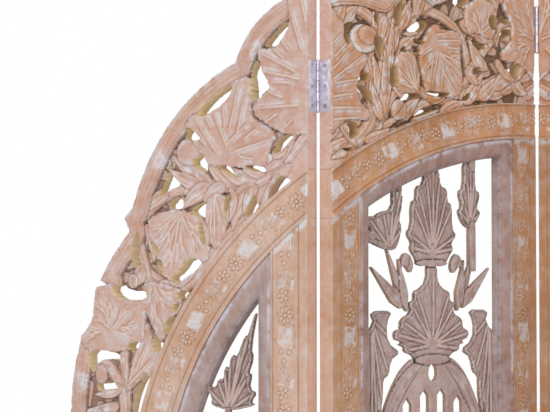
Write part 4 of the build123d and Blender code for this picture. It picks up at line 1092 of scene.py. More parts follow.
def jali_leaf(board, outline, base, tips, top=0.0):
    """Joins a leaf to the pierced board, notches its edge between two tips and carves its ribs."""
    board.add_solid(rounded(outline))
    for (s1, v1), (s2, v2) in zip(tips, tips[1:]):
        if math.dist((s1, v1), (s2, v2)) > 62:
            continue
        ds, dv = (s1 + s2) / 2 - base[0], (v1 + v2) / 2 - base[1]
        length = math.hypot(ds, dv)
        across = (-dv / length * 5.0, ds / length * 5.0)
        apex = (base[0] + 0.80 * ds, base[1] + 0.80 * dv)
        mouth = (base[0] + 1.16 * ds, base[1] + 1.16 * dv)
        notch = [apex, (mouth[0] + across[0], mouth[1] + across[1]),
                 (mouth[0] - across[0], mouth[1] - across[1])]
        w = board.window(notch, 12)
        board.inside[w] = np.minimum(board.inside[w], -inside_outline(board.s[w], board.v[w], notch))
    board.ribbed(base, tips, JALI_TOP + top, outline)


def jali_blade(board, base, tip, width):
    """Joins a slender leaf to the pierced board and gouges it."""
    board.add_solid(diamond_blade(base, tip, width))
    board.blade(base, tip, width * 1.15, JALI_TOP - 0.2, 0, 1.2, 1.8, 0.5)


def carve_tier(board, middle, dv, side_leaves):
    """One tier of the wide jali: tall leaf, broad leaf, sprays, drooping leaves and a lantern."""
    def half(points):
        return [(middle + d, v + dv) for d, v in points]

    for turn in (1, -1):
        def put(points):
            placed = moved(points, middle - DRAWN_MIDDLE, dv)
            return placed if turn == 1 else turned(placed, middle)

        jali_leaf(board, put(DROOPING), put([(404, 300)])[0], put(DROOPING_TIPS), -0.6)
        for tip, width in (((368, 410), 17), ((406, 380), 22), ((338, 392), 18)):
            jali_blade(board, put([(318, 306)])[0], put([tip])[0], width)
        board.add_solid(rounded(put(BUD)))
        board.bud(put([(317, 383)])[0], (15, 17), JALI_TOP, 2.5, 0.4)
        arm = moved(DOME_ARM, middle, dv)
        board.add_solid(rounded(arm if turn == 1 else turned(arm, middle)))
        centre_line = [(24, 222), (60, 208), (92, 176), (116, 130), (123, 90), (123, 40)]
        board.stem([(middle + turn * a, b + dv) for a, b in centre_line], (24, 28, 24, 22), JALI_TOP - 0.2,
                   1.8)
    for leaf, base, tips in side_leaves:
        jali_leaf(board, leaf, base[0], tips)
    dome = [(-94, 40), (94, 40), (94, 149), (60, 192), (20, 231), (-20, 231), (-60, 192), (-94, 149)]
    board.add_solid(half(dome))
    w = board.window(half(dome), 4)
    inside = inside_outline(board.s[w], board.v[w], half(dome))
    board.lay(w, inside, JALI_TOP - 1.0 + 0 * inside, 0.1)
    board.add_solid([(0, LANTERN_BASE + dv), (0, LANTERN_BASE + LANTERN_RAIL + dv),
                     (PITCH, LANTERN_BASE + LANTERN_RAIL + dv), (PITCH, LANTERN_BASE + dv)])
    jali_leaf(board, both_halves([(d, v + dv) for d, v in BROAD_LEAF], middle), (middle, 256 + dv),
              half(BROAD_TIPS), 0.1)
    jali_leaf(board, both_halves([(d, v + dv) for d, v in TALL_LEAF], middle), (middle, 400 + dv),
              half(TALL_TIPS), 0.1)
    board.bud((middle, 233 + dv), (42, 8), JALI_TOP, 2.0)
    board.bud((middle, 384 + dv), (38, 6), JALI_TOP, 2.0)


def pierce_slots(board, middle, count, pitch, low, top, outer_drop):
    """A row of pointed slots about a middle line, the outermost ones a little lower."""
    for i in range(count):
        place = i - (count - 1) / 2
        drop = outer_drop if i in (0, count - 1) else 0
        slot = pointed_slot(middle + place * pitch, low, top - drop)
        w = board.window(slot, 12)
        inside = -inside_outline(board.s[w], board.v[w], slot)
        board.level[w] = np.where((inside > 0) & (inside < 4), JALI_TOP - 1.6 + 0.35 * inside,
                                  board.level[w])
        board.inside[w] = np.minimum(board.inside[w], inside)


def carve_inner_jali(step):
    """Two tiers of leaves and lanterns over a row of long slots, for an inner panel."""
    middle = sum(INNER_BAY) / 2
    board = jali_board(INNER_BAY, 0, 566, step)
    lower_rail = LANTERN_BASE - TIER
    board.add_solid(box(0, PITCH, RAIL_TOP, lower_rail + 1))
    ds = middle - DRAWN_MIDDLE
    low = [moved(points, ds, -TIER) for points in (BAY_LEAF, [(360, 408)], BAY_TIPS)]
    side = [moved(points, ds, 0) for points in (SIDE_LEAF, [(361, 407)], SIDE_TIPS)]
    high = [moved(turned(points, middle), 8, TIER + 38) for points in low]
    carve_tier(board, middle, -TIER, [low, [turned(points, middle) for points in low]])
    carve_tier(board, middle, 0, [side, high])
    board.add_solid(moved(box(144, 162, 372, 566), ds, 0))
    board.stem(moved([(153, 372), (153, 446)], ds, 0), (16, 14), JALI_TOP - 0.4, 1.6)
    board.stem(moved([(153, 540), (153, 566)], ds, 0), (14, 16), JALI_TOP - 0.4, 1.6)
    long_slots_width = INNER_BAY[1] - INNER_BAY[0] - 2 * MOULDING
    slots = round(long_slots_width / SLOT_PITCH)
    pierce_slots(board, middle, slots, long_slots_width / slots, RAIL_TOP + MOULDING + LANTERN_RAIL,
                 lower_rail - 26, 0)
    for dv in (0, -TIER):
        pierce_slots(board, middle, 4, SLOT_PITCH, LANTERN_BASE + LANTERN_RAIL + dv, 188 + dv, 12)
        board.pierce(moved([(0, 228), (-11, 220), (-11, 205), (0, 197), (11, 205), (11, 220)], middle, dv))
    finish_jali(board, INNER_BAY)
    return board


CORNER_BASE = (667, 158)
CORNER_TIPS = [(704, 166), (714, 197), (688, 207), (675, 228), (662, 246), (636, 276), (612, 322),
               (622, 240), (625, 217), (616, 187), (618, 168)]
NARROW_LEAF = [(0, 0), (30, 2), (46, 10), (44, 20), (62, 30), (50, 44), (52, 62), (36, 70), (36, 92),
               (20, 98), (8, 128), (0, 132)]
NARROW_TIPS = both_sides([(0, 130), (18, 98), (35, 90), (50, 60), (60, 30), (46, 12)])
NARROW_COUNT, NARROW_STEP = 3, 290.0


def carve_outer_jali(step):
    """A corner leaf under the arch and a column of leaves and blades below it."""
    middle = sum(OUTER_BAY) / 2
    board = jali_board(OUTER_BAY, -40, 420, step)
    for i in range(NARROW_COUNT):
        foot = -90 - i * NARROW_STEP
        low = foot - 170
        board.add_solid(box(middle - 9, middle + 9, low, foot))
        board.stem([(middle, low), (middle, foot)], (18, 18), JALI_TOP - 0.4, 1.6)
        for turn in (1, -1):
            for tip, width in (((78, 4), 18), ((76, -50), 20)):
                jali_blade(board, (middle, foot - 118), (middle + turn * tip[0], foot + tip[1]), width)
        jali_leaf(board, both_halves([(d, v + foot) for d, v in NARROW_LEAF], middle), (middle, foot + 12),
                  [(middle + d, v + foot) for d, v in NARROW_TIPS])
        board.add_solid(box(middle - 26, middle + 26, foot - 12, foot + 2))
        board.bud((middle, foot - 5), (27, 8), JALI_TOP, 2.0)
    jali_blade(board, (middle, 30), (CORNER_BASE[0], 190), 30)
    jali_leaf(board, palmate(CORNER_BASE, CORNER_TIPS, 0.78), CORNER_BASE, CORNER_TIPS)
    finish_jali(board, OUTER_BAY)
    return board


# ---------------------------------------------------------------- hinges
HINGE_HEIGHT, LEAF_WIDTH, LEAF_BELOW = 78.0, 21.0, 1.9
HINGE_FOOT, HINGE_RISE = 264.4, 124.5
KNUCKLE, KNUCKLE_GAP, KNUCKLES = 2.5, 0.4, 5
PIN, PIN_OVERHANG = 1.3, 1.0
PROUD, PLATE_CORNER, PLATE_BEVEL = 0.08, 0.3, 0.15
SCREW_SPACING, SCREW_RADIUS, SCREWS = 30.0, 3.0, 3


def hinge_centres(pin_s):
    """Heights v of the centres of the two hinges whose pins stand at s."""
    share = 1 - (pin_s / ARCH_SPAN) ** 2
    return ARCH_RISE * math.sqrt(share) + HINGE_RISE, HINGE_FOOT - SPRINGING


def stack_rings(rings):
    """Vertices and faces of a closed solid from rings of equal length, one above the other, with a
    cap at both ends. Ring i and ring i + 1 are joined corner to corner."""
    rings = np.asarray(rings, float)
    count, size = rings.shape[:2]
    here = np.arange(size)
    nxt = np.roll(here, -1)
    quads = [np.column_stack([i * size + here, i * size + nxt, (i + 1) * size + nxt, (i + 1) * size + here])
             for i in range(count - 1)]
    faces = np.vstack(quads).tolist() + [here[::-1].tolist(), ((count - 1) * size + here).tolist()]
    return rings.reshape(-1, 3), faces


def upright(profile, low, high, chamfer):
    """A solid of one cross-section in (s, z) from low to high, its ends drawn in by a chamfer."""
    profile = np.asarray(profile, float)
    middle = profile.mean(0)
    size = np.hypot(*(profile - middle).T).min()
    drawn = middle + (profile - middle) * (1 - chamfer / size)
    rings = [(drawn, low), (profile, low + chamfer), (profile, high - chamfer), (drawn, high)]
    return stack_rings([np.column_stack([p[:, 0], np.full(len(p), v), p[:, 1]]) for p, v in rings])


def circle(centre, radius, sides):
    """A regular polygon round a centre."""
    turn = np.linspace(0, 2 * math.pi, sides, endpoint=False)
    return np.column_stack([centre[0] + radius * np.cos(turn), centre[1] + radius * np.sin(turn)])


def screw_head(s, v, z, turn):
    """A countersunk head on an edge: rings about its axis, which runs along s, with a sunk driving
    hole. Each ring is a radius and a height above the leaf."""
    rings = []
    for radius, rise in ((SCREW_RADIUS, -0.5), (SCREW_RADIUS, 0.06), (SCREW_RADIUS - 0.7, 0.16), (1.25, 0.14),
                         (1.0, -0.9)):
        ring = circle((v, z), radius, 20)
        rings.append(np.column_stack([np.full(20, s + turn * rise), ring]))
    return stack_rings(rings)


def hinge_mesh(name, place, solids, dark_hole=False):
    """Joins solids given in (s, v, z) to one mesh. Heads of screws carry a darker driving hole as an
    attribute, on the two inmost of their five rings."""
    points, faces, marks = [], [], []
    for coords, polygons in solids:
        base = sum(len(p) for p in points)
        points.append(coords)
        faces += [[base + i for i in polygon] for polygon in polygons]
        marks.append(np.repeat([0, 0, 0, 0.7, 1], len(coords) // 5) if dark_hole else np.zeros(len(coords)))
    coords = np.vstack(points)
    mesh = bpy.data.meshes.new(name)
    mesh.from_pydata(place.at(*coords.T).tolist(), [], faces)
    write_mark(mesh, "dark_hole", np.concatenate(marks))
    mesh.polygons.foreach_set("use_smooth", np.ones(len(faces), bool))
    face_out(mesh)
    mesh.set_sharp_from_angle(angle=math.radians(35))
    return mesh


def face_out(mesh):
    """Turns the faces of closed solids outwards."""
    work = bmesh.new()
    work.from_mesh(mesh)
    bmesh.ops.recalc_face_normals(work, faces=work.faces)
    work.to_mesh(mesh)
    work.free()


def hinge_leaf(place, name, edge_s, turn, face_z, inward, owner):
    """The two plates of one joint on one edge, with their knuckles, and the heads of their screws."""
    pin_s, pin_z = edge_s + turn * EDGE_GAP, face_z - inward * PIN_OFFSET
    far_z = face_z + inward * LEAF_WIDTH
    low_s, high_s = edge_s - turn * LEAF_BELOW, edge_s + turn * PROUD
    plates, screws = [], []
    for centre in hinge_centres(pin_s):
        plate = [(low_s, face_z), (high_s, face_z), (high_s, far_z - inward * 0.8),
                 (high_s - turn * PLATE_CORNER, far_z), (low_s, far_z)]
        plates.append(upright(plate, centre - HINGE_HEIGHT / 2, centre + HINGE_HEIGHT / 2, PLATE_BEVEL))
        step = HINGE_HEIGHT / KNUCKLES
        for i in range(owner, KNUCKLES, 2):
            low = centre - HINGE_HEIGHT / 2 + i * step + KNUCKLE_GAP / 2
            high = low + step - KNUCKLE_GAP
            wing = box(low_s, high_s - turn * PLATE_CORNER, pin_z, face_z)
            plates.append(upright(wing, low, high, 0.1))
            plates.append(upright(circle((pin_s, pin_z), KNUCKLE, 24), low, high, 0.3))
        for i in range(SCREWS):
            level = centre + (i - (SCREWS - 1) / 2) * SCREW_SPACING
            screws.append(screw_head(high_s, level, (face_z + far_z) / 2, turn))
    return hinge_mesh(f"{name}_leaves", place, plates), hinge_mesh(f"{name}_screws", place, screws, True)


def hinge_pin(place, name, pin_s, pin_z):
    """The pins of one joint: round bars with rounded ends."""
    pins = []
    for centre in hinge_centres(pin_s):
        reach = HINGE_HEIGHT / 2 + PIN_OVERHANG
        pins.append(upright(circle((pin_s, pin_z), PIN, 16), centre - reach, centre + reach, 0.5))
    return hinge_mesh(f"{name}_pins", place, pins)


# ---------------------------------------------------------------- mouldings
MOULDING_FACE, MOULDING_DROP, MOULDING_BACK = 24.4, 10.6, 3.0


def carve_moulding(bay, step):
    """A moulding round an opening. Its face is a quarter-round: with t the share of the way from the
    frame to the jali, it falls by the drop times one less the root of one less t squared."""
    board = Board(lines(bay[0] - 1, bay[1] + 1, step),
                  graded_lines(RAIL_TOP - 1, 0, arch_height(bay[0]), step * 2.2, step), MOULDING_FACE)
    s, v = board.s, board.v
    outside = opening_inside(s, v, bay, 0)
    within = -opening_inside(s, v, bay, MOULDING)
    board.keep(np.minimum(outside, within) + ON_LINE)
    share = np.clip(outside / (outside + within + 1e-6), 0, 1)
    t = np.clip((share - 0.07) / 0.93, 0, 1)
    board.level = MOULDING_FACE - MOULDING_DROP * (1 - np.sqrt(1 - 0.995 * t**2))
    # A painted highlight on the round near the frame, a pale line by the jali, painted shade at the frame's
    # edge, and painted shade in patches across the middle of the round, held by the brown mark.
    patchy = step_up(ripple(s, v, 120, 2.0), -0.7, 0.3)
    board.lime = 0.9 * bell(share - 0.14, 0.10) * patchy
    board.lime += 0.6 * bell(share - 0.97, 0.05)
    board.dark = 0.8 * bell(share, 0.035)
    board.stain_and_shade = 0.5 * bell(share - 0.55, 0.2) * step_up(ripple(s, v, 150, 5.0), -0.3, 0.5)
    return board


def arch_height(s):
    """Height of the arch rail's inner edge above the springing line at s."""
    share = s / (ARCH_SPAN - OUTER_STILE)
    return (ARCH_RISE - ARCH_CROWN) * math.sqrt(max(0.0, 1 - share * share)) + 2


# ---------------------------------------------------------------- bands of flowers on stiles and arch
BAND_REPEAT = 145.0
BAND_LINE, BAND_BEVEL = 1.2, 0.9


def flower_band(board, along, across, half_width, top, shift):
    """Relief of a running vine, as a function of the distance along and across the band: daisies
    with narrow petals, three-lobed flowers of rings, sprigs, and low panels that hold the white."""
    u = (along + shift + 2.5 * ripple(along, across, 210, 1.0)) % BAND_REPEAT
    x = across + 1.5 * ripple(along, across, 130, 4.0)
    marks = {key: np.zeros(u.shape) for key in ("relief", "core", "line")}
    marks["pad"] = np.full(u.shape, -FAR)

    def raise_to(**values):
        for key, value in values.items():
            marks[key] = np.maximum(marks[key], value)

    def petals(u0, x0, count, ring_r, length, width, turn=0.25):
        du, dx = u - u0, x - x0
        r, angle = np.hypot(du, dx), np.arctan2(dx, du)
        pitch = 2 * math.pi / count
        off = (angle / pitch + turn) % 1 - 0.5
        q = np.hypot((r - ring_r) / length, r * np.sin(off * pitch) / width)
        raise_to(relief=1.5 * step_up(1.25 - q, 0, 0.7), core=step_up(1 - q, 0, 0.5),
                 line=bell(q - 1.55, 0.28) * (r < ring_r + length * 1.9))
        heart = 3.0 - r
        raise_to(relief=1.8 * step_up(heart, -0.8, 1.5), core=0.9 * step_up(heart, 0, 1.2),
                 line=bell(r - 4.2, 0.7), pad=ring_r + length + 1.6 + 1.1 * np.cos(count * angle) - r)

    def ring(u0, x0, radius):
        r = np.hypot(u - u0, x - x0)
        raise_to(relief=1.5 * step_up(radius - r, -0.6, 0.8), core=0.5 * bell(r - radius, 0.6),
                 line=bell(r - radius * 0.7, 0.7), pad=radius + 1.0 - r)
        raise_to(core=0.9 * step_up(radius * 0.42 - r, -0.4, 0.6))

    petals(15, 0, 8, 8.4, 3.8, 1.7)
    petals(131, 4, 5, 6.6, 3.2, 1.9)
    for u0, x0, radius in ((69, -8, 5.6), (68, 7, 5.4), (82, 1, 5.8), (104, -13, 3.4), (112, 14, 3.6),
                           (146, -12, 3.2), (40, 17, 2.8), (50, 18, 2.8)):
        ring(u0, x0, radius)
    for u0, x0, u1, x1, width in ((92, 2, 112, -8, 2.2), (92, 4, 116, 6, 2.4), (90, 0, 104, 12, 2.0),
                                  (30, -14, 62, -16, 1.3), (118, 0, 100, -4, 1.6)):
        du, dx = u1 - u0, x1 - x0
        t = np.clip(((u - u0) * du + (x - x0) * dx) / (du * du + dx * dx), 0, 1)
        r = np.hypot(u - u0 - t * du, x - x0 - t * dx)
        swell = width * np.sin(math.pi * (0.12 + 0.8 * t))
        raise_to(relief=1.4 * step_up(swell - r, -0.6, 1.2), core=0.8 * bell(r, 0.7),
                 line=0.8 * bell(r - swell - 0.5, 0.6))
    relief, core, line, pad = (marks[key] for key in ("relief", "core", "line", "pad"))
    white = np.zeros(u.shape)
    for low, high, x_low, x_high in ((31, 62, -13, 13), (94, 126, -3, 13), (98, 124, -16, -8)):
        panel = np.minimum(np.minimum(u - low, high - u), np.minimum(x - x_low, x_high - x))
        panel = np.minimum(panel + 1.5 * ripple(u, x, 14, low), -pad)
        white = np.maximum(white, step_up(panel, 0, 1.4))
    field = step_up(half_width - np.abs(x), 0, 2)
    relief = np.maximum(relief, 0.5 * step_up(pad, -0.4, 0.6))
    board.level = np.where(field > 0, top - 1.5 * field + (relief - 0.5 * line) * field, board.level)
    board.pale = np.maximum(board.pale, np.clip(0.9 * core, 0, 1) * field)
    board.lime = np.maximum(board.lime, 0.7 * white * (relief < 0.5) * field)
    # Dark round the flowers, rings and sprigs is painted shade in their outlines.
    board.dark = np.maximum(board.dark, 0.7 * line * (1 - core) * field)


def carve_stile(limits, plain_low, plain_high, step, under_arch=True):
    """A stile: a carved band between plain strips, from the floor to the arch rail, or to the
    springing line where the arch rail stands on it."""
    if under_arch:
        v_lines = graded_lines(FLOOR_V, 0, 600, step * 1.5, step)
    else:
        v_lines = lines(FLOOR_V, 0, step * 1.3)
    board = Board(lines(*limits, step), v_lines, PANEL_THICKNESS)
    s, v = board.s, board.v
    board.keep(np.minimum(s - limits[0], limits[1] - s) + ON_LINE)
    board.keep(v - FLOOR_V + ON_LINE)
    board.keep(arch_inset(s, v, GLUE) if under_arch else -v + ON_LINE)
    middle = (limits[0] + plain_low + limits[1] - plain_high) / 2
    half = (limits[1] - limits[0] - plain_low - plain_high) / 2
    flower_band(board, -v, s - middle, half, PANEL_THICKNESS + 0.6, 30.0)
    # The inner panels' stiles are evenly darker.
    if limits[1] < PITCH:
        board.dark = np.maximum(board.dark, 0.27)
    if under_arch:
        under = arch_inset(s, v, GLUE)
        # The stile is paler along the arch rail's lower edge.
        board.lime = np.maximum(board.lime, 0.8 * (1 - step_up(under, 5, 12)))
        board.stain_at((480, 420), (60, 110), 0.3)
    # The scribed lines beside the band are painted with shade.
    for edge in (limits[0] + plain_low, limits[1] - plain_high):
        line = bell(s - edge, 1.0)
        board.level -= BAND_LINE * line
        board.dark = np.maximum(board.dark, 0.8 * line)
    soften(board, BAND_BEVEL)
    return board


def carve_arch_rail(s_low, s_high, step):
    """The arch rail: the flower band follows the ellipse, by the length along its middle line."""
    board = Board(lines(s_low, min(s_high, ARCH_SPAN), step), lines(0, ARCH_RISE, step),
                  PANEL_THICKNESS + ARCH_PROUD)
    s, v = board.s, board.v
    board.keep(inside_ellipse(s, v, ARCH_SPAN, ARCH_RISE))
    board.keep(-inside_ellipse(s, v, ARCH_SPAN - OUTER_STILE, ARCH_RISE - ARCH_CROWN))
    board.keep(np.minimum(np.minimum(s - s_low, s_high - s), v) + ON_LINE)
    mid_span, mid_rise = ARCH_SPAN - OUTER_STILE / 2, ARCH_RISE - ARCH_CROWN / 2
    turn = np.linspace(0, math.pi / 2, 400)
    walk = np.hypot(np.diff(mid_span * np.cos(turn)), np.diff(mid_rise * np.sin(turn)))
    length = np.concatenate([[0], np.cumsum(walk)])
    along = np.interp(np.arctan2(v / mid_rise, s / mid_span), turn, length)
    across = -inside_ellipse(s, v, mid_span, mid_rise)
    flower_band(board, along, across, 23.0, PANEL_THICKNESS + ARCH_PROUD - 0.4, 18.0)
    board.stain_at((488, 500), (32, 62), 1.2)
    board.stain_at((270, 612), (90, 14), 0.35)
    # The scribed lines along the band are painted with shade.
    line = bell(np.abs(across) - 25.0, 1.0)
    at_end = 1 - step_up(np.minimum(s - s_low, s_high - s), 0, 2.5)
    board.level -= BAND_LINE * line + ARCH_PROUD * at_end
    board.dark = np.maximum(board.dark, 0.8 * line)
    soften(board, BAND_BEVEL)
    return board


# ---------------------------------------------------------------- node materials
def linear(hex_colour):
    """A six-digit sRGB hex colour as linear red, green, blue and alpha."""
    channels = [int(hex_colour[i : i + 2], 16) / 255 for i in (0, 2, 4)]
    return tuple(c / 12.92 if c <= 0.04045 else ((c + 0.055) / 1.055) ** 2.4 for c in channels) + (1.0,)


def add_node(tree, kind, inputs=None, **settings):
    """Adds a node, applies its settings, and fills or links its inputs by name or number."""
    node = tree.nodes.new(kind)
    for key, value in settings.items():
        setattr(node, key, value)
    for key, value in (inputs or {}).items():
        socket = node.inputs[key]
        if isinstance(value, bpy.types.NodeSocket):
            tree.links.new(value, socket)
        else:
            socket.default_value = value
    return node


def new_material(name):
    """An empty node material with its output node."""
    material = bpy.data.materials.new(name)
    material.use_nodes = True
    material.node_tree.nodes.clear()
    return material, material.node_tree


def finish_surface(tree, inputs):
    """A principled surface with some inputs, joined to the material's output."""
    surface = add_node(tree, "ShaderNodeBsdfPrincipled", inputs)
    add_node(tree, "ShaderNodeOutputMaterial", {"Surface": surface.outputs[0]})


def mix_colour(tree, share, first, second, blend="MIX"):
    """A colour mixed between two colours by a share."""
    node = add_node(tree, "ShaderNodeMix", data_type="RGBA", blend_type=blend)
    for socket, value in ((node.inputs[0], share), (node.inputs[6], first), (node.inputs[7], second)):
        if isinstance(value, bpy.types.NodeSocket):
            tree.links.new(value, socket)
        else:
            socket.default_value = value
    return node.outputs[2]


def arithmetic(tree, operation, first, second=0.0, clamp=False):
    """One arithmetic step."""
    node = add_node(tree, "ShaderNodeMath", {0: first, 1: second}, operation=operation, use_clamp=clamp)
    return node.outputs[0]


def times(tree, first, second, clamp=False):
    """One value times another."""
    return arithmetic(tree, "MULTIPLY", first, second, clamp)


def noise(tree, vector, scale, detail=3.0, roughness=0.55, distortion=0.0):
    """Noise of a scale per metre."""
    return add_node(tree, "ShaderNodeTexNoise", {
        "Vector": vector, "Scale": scale, "Detail": detail, "Roughness": roughness,
        "Distortion": distortion}).outputs["Fac"]


def ramp(tree, value, low, high):
    """A value stretched so that low gives 0 and high gives 1."""
    return add_node(tree, "ShaderNodeMapRange", {0: value, 1: low, 2: high}).outputs[0]


# Brown of the stains, also used for painted shade on one side of leaves and blades and on the moulding.
STAIN_AND_SHADE = "ad7030"
THIN_WASH = 0.7


def limed_wood(name, light, mid, brown, wash, groove, wash_amount, grain_up, carved=True, dark_vein=0.0,
               sawn="c4a98c", sawn_inner="c4a98c", vein="e8cdbd", inner_tint="ffffff"):
    """Mango wood under a rubbed lime wash. Broad patches run from light to brown wood, fine streaks
    follow the grain, the wash stays in the cuts and on the arrises, and deep ground and dark lines take a
    painted shade; pale marks and some lime marks also carry painted highlights, and some brown marks painted
    shade. The two inner panels may be a little browner than the outer ones, and sawn edges have no wash; they
    are painted lit on the outer panels and shaded on the inner ones."""
    material, tree = new_material(name)
    if carved:
        grain, pale, lime, dark, stain_and_shade, sunk, wall = (
            add_node(tree, "ShaderNodeAttribute", attribute_name=key).outputs[output]
            for key, output in (("grain", "Vector"), ("pale", "Fac"), ("lime", "Fac"), ("dark", "Fac"),
                                ("stain_and_shade", "Fac"), ("sunk", "Fac"), ("wall", "Fac")))
        face = arithmetic(tree, "LESS_THAN", wall, 0.25)
        stretch = (60, 5, 60) if grain_up else (5, 60, 60)
    else:
        grain = add_node(tree, "ShaderNodeTexCoord").outputs["Object"]
        stretch = (60, 60, 5)
    streak_at = add_node(tree, "ShaderNodeMapping", {"Vector": grain, "Scale": stretch}).outputs[0]
    patches = noise(tree, grain, 9.0, 2.0)
    streaks = noise(tree, streak_at, 3.0, 4.0, 0.6, 0.6)
    pores = noise(tree, streak_at, 14.0, 2.0, 0.5)
    mottle = noise(tree, grain, 55.0, 4.0, 0.65)
    colour = mix_colour(tree, ramp(tree, patches, 0.35, 0.68), linear(light), linear(mid))
    colour = mix_colour(tree, ramp(tree, noise(tree, grain, 5.0, 1.0), 0.52, 0.72), colour, linear(brown))
    colour = mix_colour(tree, times(tree, ramp(tree, streaks, 0.45, 0.75), 0.45),
                        colour, linear(brown))
    if carved:
        # Stains, and painted shade where the brown mark carries it.
        browned = times(tree, stain_and_shade, ramp(tree, mottle, 0.2, 0.6), True)
        browned = times(tree, browned, times(tree, face, 0.75))
        colour = mix_colour(tree, browned, colour, linear(STAIN_AND_SHADE))
    speckle = noise(tree, grain, 240.0, 3.0, 0.7)
    colour = mix_colour(tree, times(tree, ramp(tree, speckle, 0.45, 0.75), 0.35), colour,
                        linear(brown))
    film = ramp(tree, mottle, 0.42, 0.68)
    cover = times(tree, film, wash_amount)
    if carved:
        held = times(tree, lime, ramp(tree, mottle, 0.36, 0.5), True)
        held = times(tree, held, times(tree, face,
                                                             ramp(tree, speckle, 0.25, 0.50)), True)
        cover = arithmetic(tree, "ADD", cover, held, True)
        place = add_node(tree, "ShaderNodeSeparateXYZ", {0: grain}).outputs[0]
        inner = arithmetic(tree, "LESS_THAN", place, PITCH * MM)
        colour = mix_colour(tree, times(tree, inner, face), colour, linear(inner_tint),
                            "MULTIPLY")
    colour = mix_colour(tree, cover, colour, linear(wash))
    if carved:
        # Pale marks: wash in the cuts, and painted highlights on arrises and ridges.
        cut = times(tree, times(tree, pale, 0.85, True), face)
        colour = mix_colour(tree, cut, colour, linear(vein))
        # Painted shade in the deep ground.
        deep = ramp(tree, sunk, 0.0035, 0.012)
        colour = mix_colour(tree, times(tree, times(tree, deep, 0.6), face),
                            colour, linear(groove))
        # Painted shade in the dark lines and stop-cuts.
        lines_in = times(tree, times(tree, dark, dark_vein, True), face)
        colour = mix_colour(tree, lines_in, colour, linear(groove))
        # The sawn walls are painted lit on the outer panels and shaded on the inner ones.
        raw_wall_lit_and_shaded = mix_colour(tree, inner, linear(sawn), linear(sawn_inner))
        colour = mix_colour(tree, arithmetic(tree, "GREATER_THAN", wall, 0.75), colour, raw_wall_lit_and_shaded)
    bump_height = arithmetic(tree, "ADD", times(tree, pores, 0.5),
                             times(tree, mottle, 0.5))
    bump = add_node(tree, "ShaderNodeBump", {"Height": bump_height, "Strength": 0.28, "Distance": 0.0012})
    finish_surface(tree, {"Base Color": colour, "Roughness": 0.78, "Specular IOR Level": 0.25,
                          "Normal": bump.outputs[0]})
    return material


def zinc_steel(name, colour, cloudy, rough):
    """Pressed steel under a dull zinc plate: a soft lilac-grey sheen, clouded, with the
    driving holes of the screws darker."""
    material, tree = new_material(name)
    at = add_node(tree, "ShaderNodeTexCoord").outputs["Object"]
    cloud = noise(tree, at, 120.0, 3.0)
    base = mix_colour(tree, ramp(tree, cloud, 0.38, 0.72), linear(colour), linear(cloudy))
    hole_dark = add_node(tree, "ShaderNodeAttribute", attribute_name="dark_hole").outputs["Fac"]
    base = mix_colour(tree, hole_dark, base, linear("2e2b2c"))
    roughness = add_node(tree, "ShaderNodeMapRange", {0: cloud, 3: rough, 4: rough + 0.25}).outputs[0]
    finish_surface(tree, {"Base Color": base, "Metallic": 1.0, "Roughness": roughness})
    return material


def seen_rays(tree):
    """1 for rays of the camera and for those that gloss and glass send on, otherwise 0."""
    path = add_node(tree, "ShaderNodeLightPath")
    bright = arithmetic(tree, "MAXIMUM", path.outputs["Is Camera Ray"], path.outputs["Is Glossy Ray"])
    return arithmetic(tree, "MAXIMUM", bright, path.outputs["Is Transmission Ray"])


# ---------------------------------------------------------------- sizes and colours that a user may change
class ScreenSettings(PropertyGroup):
    """Grid size of the carving, the wood's colours and the studio's brightness."""

    grid: FloatProperty(name="Carving grid", description="Spacing of the carved surface's grid, in mm",
                        default=1.6, min=0.8, max=6)
    wash: FloatProperty(name="Lime wash", description="How much of the wood the wash film covers",
                        default=0.42, min=0, max=1, subtype="FACTOR")
    key_light: FloatProperty(name="Key light", description="Power of the large front light",
                             default=85, min=0, unit="POWER")
    sky: FloatProperty(name="Studio white", description="Brightness of the white surround",
                       default=0.5, min=0)
    floor_colour: FloatVectorProperty(name="Floor", description="Colour of the studio floor",
                                      default=(0.86, 0.86, 0.86), size=3, subtype="COLOR", min=0, max=1)


def settings():
    """The screen's settings in the scene."""
    return bpy.context.scene.carved_screen


def shared(name, maker, *values, **named):
    """A material made once and used again."""
    return bpy.data.materials.get(name) or maker(name, *values, **named)


def crest_wood():
    """Sawn and carved mango wood, rubbed back so that the wash stays in the veins."""
    # Its hole walls are painted lit on the outer panels and shaded on the inner ones, and its groove colour
    # is painted shade.
    return shared("Limed mango, carved crest", limed_wood, light="d8b4a8", mid="cca292", brown="bd8f6c",
                  wash="dcdadd", groove="5a4530", wash_amount=settings().wash, grain_up=False, dark_vein=0.8,
                  sawn="f0dcb8", sawn_inner="cfae84", vein="f0d8ca", inner_tint="fff0d6")


def band_wood():
    """Mango wood of the stiles and arch, with white filling in the low panels of the vine."""
    # Its sawn edges are painted lit on the outer panels and shaded on the inner ones, and its groove colour
    # is painted shade.
    return shared("Limed mango, flower band", limed_wood, light="d9b4a0", mid="cb9f84", brown="b88a60",
                  wash="dcdadd", groove="65492f", wash_amount=settings().wash * THIN_WASH, grain_up=True,
                  dark_vein=0.75, sawn="f0dcb8", sawn_inner="cfae84", vein="ecd4c4", inner_tint="fae8cc")


def jali_wood():
    """Thin pierced board with a greyer wash and painted shade in its dark scribed lines."""
    return shared("Greyed mango, pierced jali", limed_wood, light="c0a69f", mid="ad918a", brown="94736a",
                  wash="cfc6c8", groove="43322c", wash_amount=settings().wash, grain_up=False, dark_vein=1.0,
                  sawn="b39a86", sawn_inner="b39a86", vein="dcc4ba")


